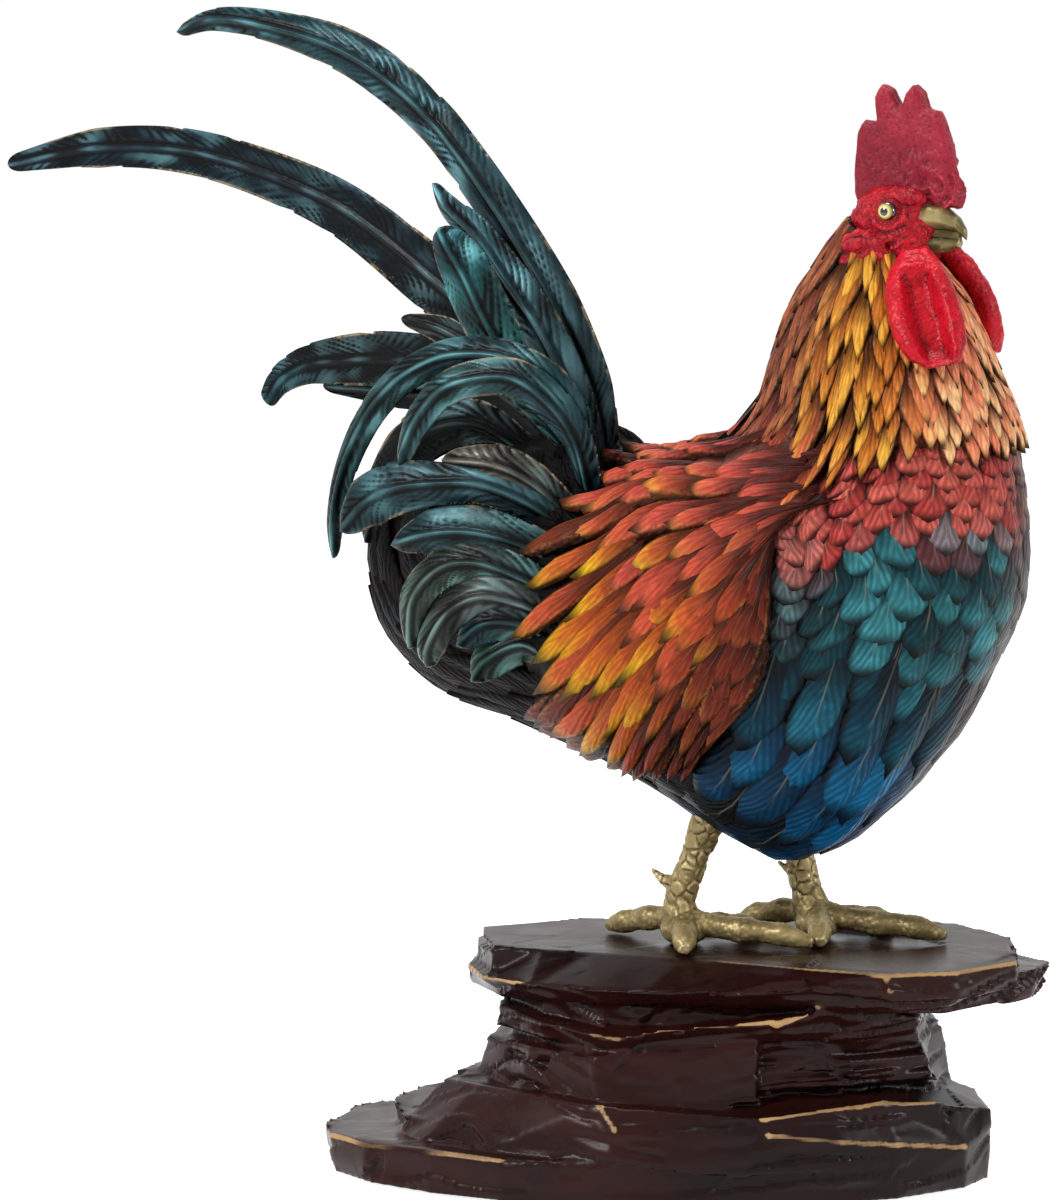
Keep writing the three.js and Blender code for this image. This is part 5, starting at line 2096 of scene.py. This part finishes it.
@dataclass
class Legs:
    """The brass legs with their toes, claws and spurs."""

    feet: Sequence[Foot] = (
        Foot(Side.RIGHT, (10, -15), (8.5, -15, 83), (14, -16, 97), (25, -19, 121)),
        Foot(Side.LEFT, (39, 17), (35, 17, 83), (32, 17.5, 96), (29, 19, 116)),
    )
    toes: Sequence[tuple[float, float, float]] = (
        (12, 40, 0), (-62, 25, 0), (52, 25, 0), (170, 30, 1.5),
    )
    shank: float = 4.9
    shank_shares: Sequence[float] = (1.3, 1.0, 0.92, 1.2)
    toe: float = 4.1
    toe_shares: Sequence[float] = (1.15, 0.98, 0.84, 1.02, 0.8, 0.94, 0.72, 0.4)
    sole_height: float = 70.3

    def dress(self) -> None:
        """Makes and places both legs."""
        brass = CastPaint("leg_brass", "17130a", "a28e60", "7e6e48", "dcca98", grain=300,
                          edge_from=0.0, edge_to=0.1, rough=0.38, metallic=0.3, depth=0.0002)
        coat = brass.make()
        for foot in self.feet:
            finish_piece(self.leg(foot), coat, Slot.BRASS, f"leg_{foot.side.name.lower()}")

    def leg(self, foot: Foot) -> Object:
        """One leg.

        Args:
            foot: Where it stands.

        Returns:
            The finished piece.
        """
        x, y = foot.sole
        base = self.sole_height
        shape = new_shape()
        radii = [self.shank * k for k in self.shank_shares]
        knuckles = [self.toe * k for k in self.toe_shares]
        limb(shape, [(x, y, base + 4), foot.ankle, foot.knee, foot.hip], radii)
        for heading, reach, rise in self.toes:
            angle = math.radians(heading)
            ahead = Vector((math.cos(angle), math.sin(angle), 0))
            level = base + self.toe
            points = [
                Vector((x, y, level + 2.5)),
                Vector((x, y, level + 0.8 + rise)) + ahead * reach * 0.35,
                Vector((x, y, level)) + ahead * reach * 0.72,
                Vector((x, y, level - self.toe * 0.55)) + ahead * reach,
            ]
            limb(shape, points, knuckles)
        spur = Vector(foot.ankle) + Vector((-2, 0, 5))
        limb(shape, [spur, spur + Vector((-4, 0, 1)), spur + Vector((-8, 0, 4))], (2.4, 1.8, 0.7))
        ball(shape, (x, y, base + 4), (7.4, 7.4, 5))
        return carve(
            to_object(shape, f"leg_casting_{foot.side.name.lower()}"), 0.6, 5, self.scutes
        )

    def scutes(self, place: Vector, normal: Vector) -> float:
        """The leg's scales, with no move outwards at the sole.

        Args:
            place: The place in millimetres.
            normal: The skin's normal there; not used.

        Returns:
            The move in millimetres.
        """
        spot, low = to_bird(place), self.sole_height
        shank = smooth(low + 9, low + 13, spot.z)
        plates = smooth(0.0, 0.3, cell_gap(spot, 4.0)) - 0.8
        wrinkles = smooth(0.0, 0.3, cell_gap(spot, 2.2)) - 0.8
        move = plates * 0.5 * shank + wrinkles * 0.2 * (1 - shank)
        move += (ridged(spot, 6.0, 6.0) - 0.4) * 0.2
        return min(move, 0.0) if spot.z < low + 1.5 else move


@dataclass(frozen=True)
class Stratum:
    """One layer of the rock, between the corners of its top and those of its foot."""

    top: Sequence[Point]
    foot: Sequence[Point]

    def build(self, shape: BMesh) -> None:
        """Adds the layer as a closed block.

        Args:
            shape: The mesh that gets it, in metres.
        """
        part = bmesh.new()
        for vertex in plate(part, self.top):
            gaps = [(vertex.co - Vector(p)).length for p in self.top]
            vertex.co = self.foot[gaps.index(min(gaps))]
        bmesh.ops.recalc_face_normals(part, faces=part.faces)
        bmesh.ops.transform(part, matrix=Matrix.Scale(MM, 4), verts=part.verts)
        join(shape, part)


def sheer(top: Sequence[Point], low: float, tuck: float) -> Stratum:
    """A layer with a level foot, drawn in or out by a share.

    Args:
        top: The corners of its top.
        low: The foot's height.
        tuck: The foot's size, as a share of the top's.

    Returns:
        The layer.
    """
    return Stratum(top, [(x * tuck, y * tuck, low) for x, y, _ in top])


@dataclass(frozen=True)
class Edge:
    """A chiselled edge that is rubbed to bright metal."""

    points: Sequence[Point]

    def gap(self, place: Vector) -> float:
        """How far a place is from the edge.

        Args:
            place: The place in millimetres.

        Returns:
            The distance in millimetres.
        """
        least = math.inf
        for a, b in zip(self.points, self.points[1:]):
            start, run = Vector(a), Vector(b) - Vector(a)
            share = min(max((place - start).dot(run) / run.length_squared, 0.0), 1.0)
            least = min(least, (place - start - run * share).length)
        return least


TOP_RIM = (
    (-60, -4, 70), (-56, -24, 70), (-42, -29, 70), (-27, -33, 70), (-13, -37, 70),
    (2, -43.5, 70), (11, -48.5, 70), (34, -59.5, 69.8), (58.5, -68.5, 69.6), (80, -62, 69.2),
    (99, -44, 69), (100, -8, 70), (86, 18, 70), (34, 27, 70), (-30, 25, 70), (-60, 12, 70),
)
TOP_LIP = (
    (-62, -5, 61), (-58, -27, 61), (-46, -49, 62), (-27, -61, 62.8), (-13, -63.5, 62.8),
    (4, -65.5, 62.6), (15, -66.5, 63.3), (34, -68, 64.6), (59, -70.5, 62), (80, -63, 61),
    (101, -42, 61), (103, -6, 61), (88, 20, 60), (36, 30, 60), (-30, 28, 60), (-62, 14, 60),
)
SHELF_RIM = (
    (-65, -6, 61.8), (-61, -25, 61.6), (-49, -45, 63.4), (-30, -57, 62.6), (0, -62.5, 62),
    (34, -66.5, 64), (60, -70.5, 65.2), (81, -62, 64.6), (106, -31, 64.4), (112.9, -10, 63),
    (86, 36, 63), (30, 52, 63), (-30, 48, 63), (-58, 22, 63),
)
SHELF_FOOT = (
    (-62, -6, 55.4), (-54, -31, 55.8), (-42, -45, 58), (-26, -53, 58), (0, -56, 58),
    (34, -63, 59.4), (61.6, -66.5, 57.4), (77, -58, 55.9), (104, -30, 55.4), (110, -11, 55.4),
    (84, 34, 54), (30, 48, 54), (-30, 46, 54), (-56, 20, 54),
)
WEDGE_EDGE = (
    (-55, -24, 52.4), (-42, -47, 51.4), (-27, -60.2, 50.3), (-20, -63.2, 49.6),
    (-13, -63.8, 51.8), (5, -64.8, 54), (24.4, -65.2, 54.8), (26.5, -65.4, 53.4),
    (34, -64.6, 56.4), (42, -63.6, 60.8), (52, -60.2, 57), (71, -47, 52.6),
)
WEDGE_FOOT = (
    (-55, -23, 46), (-42, -44, 46), (-26, -57, 45.4), (-20, -59, 45), (-13, -59.6, 46.6),
    (5, -60.4, 48.4), (24, -60.6, 48.6), (27, -59.4, 48), (34, -59, 48), (42, -58, 48.6),
    (52, -55.4, 48.4), (70, -44, 48),
)
LOW_EDGE = (
    (22.8, -70.4, 27), (42, -68.2, 29.8), (59, -62.4, 30.6), (74, -56, 29.6), (92, -37, 23),
)
FOOT_EDGE = ((24, -72, 22.4), (46, -71, 20), (63, -65, 18.1), (84, -52, 14.6), (92.5, -38, 19))
PROW_EDGE = ((-25.5, -67, 30.5), (-20.8, -71.6, 23.8), (-1, -70.8, 25.4), (22.8, -70.4, 27))
SLAB_EDGE = (
    (-107.5, -8, 13.3), (-106, -22, 12.6), (-95, -38.4, 12.6), (-75, -53.4, 14),
    (-54.5, -64.4, 13.5), (-23.5, -71.8, 13.7),
)
STRATA = (
    Stratum(TOP_RIM, TOP_LIP),
    Stratum(SHELF_RIM, SHELF_FOOT),
    Stratum(
        (*WEDGE_EDGE, (77, -10, 56), (60, 30, 56), (-10, 38, 56), (-48, 24, 56)),
        (*WEDGE_FOOT, (76, -8, 44), (58, 28, 44), (-10, 36, 44), (-46, 22, 44)),
    ),
    sheer(((-50, -20, 62), (-42, -40, 62), (-24, -51, 62), (10, -55, 62), (40, -57, 62),
           (66, -42, 62), (76, -10, 62), (58, 30, 62), (-10, 38, 62), (-46, 22, 62)), 40, 1),
    Stratum(
        ((-57.8, -16, 41.4), (-45.4, -42, 43), (-29, -57.4, 43.3), (-27, -60, 43.8),
         (-1, -61, 45.2), (21.6, -61, 47.4), (22, -53, 47), (49, -50, 48.4), (70, -38, 47.6),
         (79, -14, 46), (76, 12, 46), (50, 34, 46), (-6, 38, 45), (-46, 24, 45)),
        ((-61, -14, 29), (-48, -44, 30), (-27, -59, 28.6), (-25, -61.6, 28), (0, -62.4, 29),
         (22, -62.4, 30), (23, -54, 31), (52, -52, 32), (74, -39, 31), (82, -12, 26),
         (78, 14, 26), (52, 36, 26), (-6, 40, 26), (-50, 26, 26)),
    ),
    Stratum(
        ((21.8, -58, 46.6), (49, -55, 48.2), (71, -42, 47.4), (71, -20, 48), (22, -20, 48)),
        ((22, -56, 43), (49, -53, 44.4), (71, -40.6, 44), (71, -20, 44), (22, -20, 44)),
    ),
    Stratum(
        ((23.4, -58.6, 41.4), (49, -56.4, 42), (72, -43.4, 41.4), (72, -20, 42), (23, -20, 42)),
        ((23.8, -58, 38), (50, -55, 38.6), (74, -42, 38), (74, -20, 38), (23, -20, 38)),
    ),
    Stratum(
        ((23.6, -60, 36.2), (49, -58, 37.2), (74, -44.6, 36.6), (74, -20, 37), (23, -20, 37)),
        ((24, -59.4, 33), (50, -57, 34), (76, -43, 33), (76, -20, 33), (23, -20, 33)),
    ),
    sheer(((-62, -6, 31), (-58, -30, 30), (-24, -57, 27), (25, -60, 29), (64, -44, 31),
           (80, -14, 33), (78, 12, 33), (52, 36, 32), (-6, 40, 31), (-50, 26, 31)), 14, 1.05),
    Stratum(
        ((-72, -20, 29.6), (-60.3, -39, 30.7), (-48.4, -51, 31.3), *PROW_EDGE,
         (22, -30, 30), (-30, -20, 33), (-58, -4, 32)),
        ((-84, -20, 15), (-76, -40, 15), (-60, -55, 13.6), (-24, -72, 12.6), (-20, -72.6, 12),
         (0, -72.4, 12), (24, -72, 12), (24, -30, 12), (-30, -20, 12), (-60, 0, 14)),
    ),
    Stratum(
        (*LOW_EDGE, (90, -10, 24), (60, -10, 34), (24, -20, 34)),
        (*FOOT_EDGE, (92, -8, 12), (60, -8, 12), (24, -20, 12)),
    ),
    Stratum(
        (*FOOT_EDGE, (94, 4, 15), (80, 36, 14), (20, 48, 20), (0, -60, 20)),
        ((24, -71, 1), (47, -67, 1), (63, -61, 1), (84, -46, 1), (92, -32, 1), (92, 6, 1),
         (78, 36, 1), (20, 50, 1), (0, -60, 1)),
    ),
    sheer(((-87, -6, 21), (-84, -24, 18.4), (-64, -42, 19), (-40, -54, 19), (20, -56, 20),
           (68, -44, 22), (90, -24, 18.5), (94, 4, 15), (80, 36, 14), (20, 46, 22),
           (-50, 40, 22), (-80, 18, 19)), 9, 0.98),
    Stratum(
        (*SLAB_EDGE, (24, -72, 13), (60, -60, 12), (92, -30, 12), (92, 22, 10), (60, 50, 12),
         (0, 58, 12), (-60, 52, 12), (-99, 22, 12)),
        ((-106, -8, 1), (-104, -23, 1), (-93, -39, 1), (-75, -53, 1), (-54, -64, 1),
         (-24, -71.6, 1), (24, -71, 1), (60, -61, 1), (90, -30, 1), (91, 22, 1), (60, 50, 1),
         (0, 58, 1), (-60, 52, 1), (-99, 22, 1)),
    ),
)
EDGES = (
    Edge(WEDGE_EDGE[2:-1]),
    Edge(LOW_EDGE[:-1]),
    Edge(FOOT_EDGE[:-1]),
    Edge(PROW_EDGE[:2]),
    Edge(SLAB_EDGE[1:5]),
    Edge(((11, -48.5, 70), *TOP_RIM[7:11])),
    Edge(((58.5, -68.5, 69.6), (60, -70.5, 65))),
    Edge(SHELF_RIM[:3]),
)


@dataclass
class Plinth:
    """The rock and what closes it from below."""

    voxel: float = 1.0
    layer_height: float = 6.5
    layer_depth: float = 1.6
    cover_inset: float = 5.3
    recess_top: float = 4.3
    hollow: Sequence[tuple[float, float]] = (
        (-64, -12), (-54, -36), (-20, -52), (40, -52), (70, -38), (72, 6), (50, 34), (-6, 40),
        (-52, 34),
    )
    cell: Point = (46, 46, 15)
    facet: float = 0.028
    fine_cell: Point = (26, 26, 8)
    fine_facet: float = 0.014
    noise_seed: int = 7  # settles how the noise bends and tilts the planes
    bend: float = 14.0  # how far the strata stray, in millimetres
    bend_scale: float = 60.0
    groove_depth: float = 1.1
    groove_gap: float = 9.0
    grain_length: float = 12.0  # how much longer a groove is along the rock than across it
    cut: tuple[float, float] = (-3.0, 1.0)  # how far the chisel may move the skin
    back_from: float = -2.0  # behind this Y no edge is rubbed
    rubbed_gain: float = 2.4

    def dress(self, nodes: dict[str, Object]) -> None:
        """Makes the rock and finishes the nodes that stay.

        Args:
            nodes: The frame's nodes by name.
        """
        rock = CastPaint("rock_gloss", "050202", "2a100d", "190b0b", "c8a070", grain=70,
                         edge_from=0.2, edge_to=0.34, edge_share=0.85, break_up=0.8, rough=0.28,
                         depth=0.0001, stretch=(1, 1, 2.4), specular=0.12)
        finish_piece(self.rock(), rock.make(), Slot.PLINTH, "rock_plinth")
        self.finish_nodes(nodes)

    def rock(self) -> Object:
        """The carved rock, cut out below for its cover.

        Returns:
            The finished piece.
        """
        shape = bmesh.new()
        for stratum in STRATA:
            stratum.build(shape)
        thing = to_object(shape, "rock_carving", UPRIGHT)
        fuse(thing, self.voxel, 2)
        noise.seed_set(self.noise_seed)
        relief(thing, self.chisel)
        write_stand(thing, self.gilding(thing, crests(thing)))
        self.recess(thing)
        return thing

    def recess(self, thing: Object) -> None:
        """Cuts the recess that the cover lies in.

        Args:
            thing: The rock.
        """
        rim = []
        for x, y in self.hollow:
            grow = 1 + self.cover_inset / math.hypot(x, y)
            rim.append((x * grow, y * grow))
        part = bmesh.new()
        top = [(x, y, self.recess_top) for x, y in rim]
        Stratum(top, [(x, y, -2) for x, y in rim]).build(part)
        cutter = to_object(part, "recess_cutter", UPRIGHT)
        cut = thing.modifiers.new("recess", "BOOLEAN")
        cut.operation = "DIFFERENCE"
        cut.object = cutter
        cut.solver = "EXACT"
        apply_modifiers(thing)
        bpy.data.objects.remove(cutter)

    def gilding(self, thing: Object, stand: np.ndarray) -> np.ndarray:
        """Keeps the paint's bright edges to the rock's rubbed ones.

        Args:
            thing: The rock.
            stand: How far each vertex stands out.

        Returns:
            The number that the paint reads, for each vertex.
        """
        told = np.clip(stand, -0.3, 0.1)
        for index, vertex in enumerate(thing.data.vertices):
            place = vertex.co / MM
            if place.y > self.back_from:
                continue
            gap = min(edge.gap(place) for edge in EDGES)
            near = smooth(3.5, 1.8, gap)
            if near:
                rubbed = stand[index] * self.rubbed_gain + 0.2 * smooth(1.5, 0.6, gap)
                told[index] = lerp(told[index], rubbed, near)
        return told

    def facets(self, place: Vector, cell: Point, slope: float) -> float:
        """A height that is flat within each cell of rock, tilted its own way.

        Args:
            place: The place in millimetres.
            cell: The size of a cell.
            slope: How steep the tilt may be.

        Returns:
            The height in millimetres.
        """
        scaled = Vector((place.x / cell[0], place.y / cell[1], place.z / cell[2]))
        centre = noise.voronoi(scaled)[1][0]
        tilt = noise.noise_vector(centre * 7.3)
        away = scaled - centre
        lift = tilt.x * away.x * cell[0] + tilt.y * away.y * cell[1] + tilt.z * away.z * cell[2]
        return lift * slope * 4

    def chisel(self, place: Vector, normal: Vector) -> float:
        """The rock's chiselled planes and the long grooves along its sides.

        Args:
            place: The place in millimetres.
            normal: The rock's normal there.

        Returns:
            The move in millimetres.
        """
        bent = place + noise.noise_vector(place / self.bend_scale) * self.bend
        side = 1 - smooth(0.5, 0.95, abs(normal.z))
        planes = self.facets(bent, self.cell, self.facet)
        small = self.facets(bent + Vector((31, 7, 3)), self.fine_cell, self.fine_facet)
        tilted = bent.z + 0.16 * bent.x * noise.noise(place / 80)
        long = Vector((bent.x / self.grain_length, bent.y / self.grain_length, tilted))
        groove = min(ridged(long, self.groove_gap, 1.7), 0.35) / 0.35 - 1
        line = groove * self.groove_depth * smooth(-0.15, 0.2, noise.noise(place / 34))
        layer = (tilted + 1.5 * noise.noise(bent / 16)) / self.layer_height
        ledge = ((layer - math.floor(layer)) ** 1.6 - 0.5) * self.layer_depth
        line += ledge * smooth(-0.25, 0.15, noise.noise(place / 46 + Vector((5, 2, 9))))
        height = (planes + small * 0.6) * lerp(0.3, 1.0, side) + line * side
        if place.y < 0:
            height *= smooth(1.0, 6.0, min(edge.gap(place) for edge in EDGES))
        return min(max(height, self.cut[0]), self.cut[1]) * smooth(1.0, 6.0, place.z)

    def finish_nodes(self, nodes: dict[str, Object]) -> None:
        """Gives the hidden nodes that stay as they are their finishes.

        Args:
            nodes: The frame's nodes by name.
        """
        felt = PlainFinish("felt_cloth", "1c2a22", "2a3a30", 3000, 0.95, depth=0.0003).make()
        board = PlainFinish("cover_wood", "7a5836", "94704a", 90, 0.6, stretch=(1, 12, 12)).make()
        steel = PlainFinish("plated_steel", "8c8e90", "a6a8aa", 900, 0.35, metallic=1.0).make()
        coats = {"felt_sheet": felt, "plinth_cover": board}
        coats |= dict.fromkeys(("cover_screw", "leg_stud", "leg_washer", "leg_nut"), steel)
        for name, node in nodes.items():
            for start, coat in coats.items():
                if name.startswith(start):
                    node.data.materials.clear()
                    node.data.materials.append(coat)


@dataclass
class Studio:
    """The floor, the lamps, the world and the camera."""

    aim: Point = (-0.0469, 0.0, 0.172)
    distance: float = 1.7
    elevation: float = 6.5
    lens: float = 168.6
    world_light: float = 0.2
    floor_glow: float = 0.88
    key: float = 21.0
    fill: float = 8.5
    top: float = 11.0

    def build(self) -> None:
        """Makes the whole studio."""
        self.camera()
        self.floor()
        self.world()
        self.lamp("softbox_left", (-1.1, -0.9, 1.0), 0.5, self.key)
        self.lamp("softbox_right", (1.3, -0.7, 0.6), 0.45, self.fill)
        self.lamp("softbox_top", (0.0, 0.1, 1.6), 0.6, self.top)

    def camera(self) -> None:
        """The camera at the photograph's angle."""
        data = bpy.data.cameras.new("studio_camera")
        data.lens = self.lens
        data.sensor_fit = "VERTICAL"
        data.sensor_height = data.sensor_width = 36
        data.clip_start = 0.05
        camera = bpy.data.objects.new("studio_camera", data)
        bpy.context.scene.collection.objects.link(camera)
        angle = math.radians(self.elevation)
        away = Vector((0, -math.cos(angle), math.sin(angle)))
        camera.location = Vector(self.aim) + away * self.distance
        camera.rotation_euler = (-away).to_track_quat("-Z", "Y").to_euler()
        bpy.context.scene.camera = camera

    def lamp(self, name: str, place: Point, size: float, power: float) -> None:
        """A soft square lamp that faces the bird.

        Args:
            name: Its name.
            place: Where it hangs, in metres.
            size: Its side, in metres.
            power: Its power in watts.
        """
        data = bpy.data.lights.new(name, "AREA")
        data.size = size
        data.energy = power
        lamp = bpy.data.objects.new(name, data)
        bpy.context.scene.collection.objects.link(lamp)
        lamp.location = place
        ahead = Vector(self.aim) - Vector(place)
        lamp.rotation_euler = ahead.to_track_quat("-Z", "Y").to_euler()

    def in_sight(self, tree: bpy.types.NodeTree) -> NodeSocket:
        """Whether the camera, a reflection or glass sees a place.

        Args:
            tree: The node tree that asks.

        Returns:
            The answer's socket, 1 or 0.
        """
        rays = tree.nodes.new("ShaderNodeLightPath")
        seen = rays.outputs["Is Camera Ray"]
        for kind in ("Is Glossy Ray", "Is Transmission Ray"):
            either = tree.nodes.new("ShaderNodeMath")
            either.operation = "MAXIMUM"
            tree.links.new(seen, either.inputs[0])
            tree.links.new(rays.outputs[kind], either.inputs[1])
            seen = either.outputs[0]
        return seen

    def floor(self) -> None:
        """A pale floor, white to the camera but for the shadow on it."""
        shape = bmesh.new()
        bmesh.ops.create_grid(shape, x_segments=1, y_segments=1, size=6)
        mesh = bpy.data.meshes.new("studio_floor")
        shape.to_mesh(mesh)
        shape.free()
        floor = bpy.data.objects.new("studio_floor", mesh)
        bpy.context.scene.collection.objects.link(floor)
        box = Paintbox("floor_paint")
        glow = box.times(self.in_sight(box.tree), self.floor_glow)
        box.shader.inputs["Emission Color"].default_value = (1, 1, 1, 1)
        box.feed(box.shader.inputs["Emission Strength"], glow)
        floor.data.materials.append(box.coat(paint("f4f4f4"), 0.9, Specular_IOR_Level=0.0))

    def world(self) -> None:
        """An even pale world, plain white where the camera or a reflection sees it."""
        world = bpy.data.worlds.new("studio_world")
        bpy.context.scene.world = world
        world.use_nodes = True
        tree = world.node_tree
        tree.nodes.clear()
        strength = tree.nodes.new("ShaderNodeMapRange")
        tree.links.new(self.in_sight(tree), strength.inputs[0])
        strength.inputs[3].default_value = self.world_light
        strength.inputs[4].default_value = 1.0
        background = tree.nodes.new("ShaderNodeBackground")
        background.inputs[0].default_value = (1, 1, 1, 1)
        tree.links.new(strength.outputs[0], background.inputs[1])
        output = tree.nodes.new("ShaderNodeOutputWorld")
        tree.links.new(background.outputs[0], output.inputs[0])


def main() -> None:
    """Builds the scene in order."""
    logging.basicConfig(level=logging.INFO, format="%(message)s")
    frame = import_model()
    bpy.context.scene.view_settings.view_transform = "Standard"
    Studio().build()
    Plinth().dress(frame["nodes"])
    Legs().dress()
    Head().dress()
    Plumage().dress()
    Tail().dress()


if __name__ == "__main__":
    main()
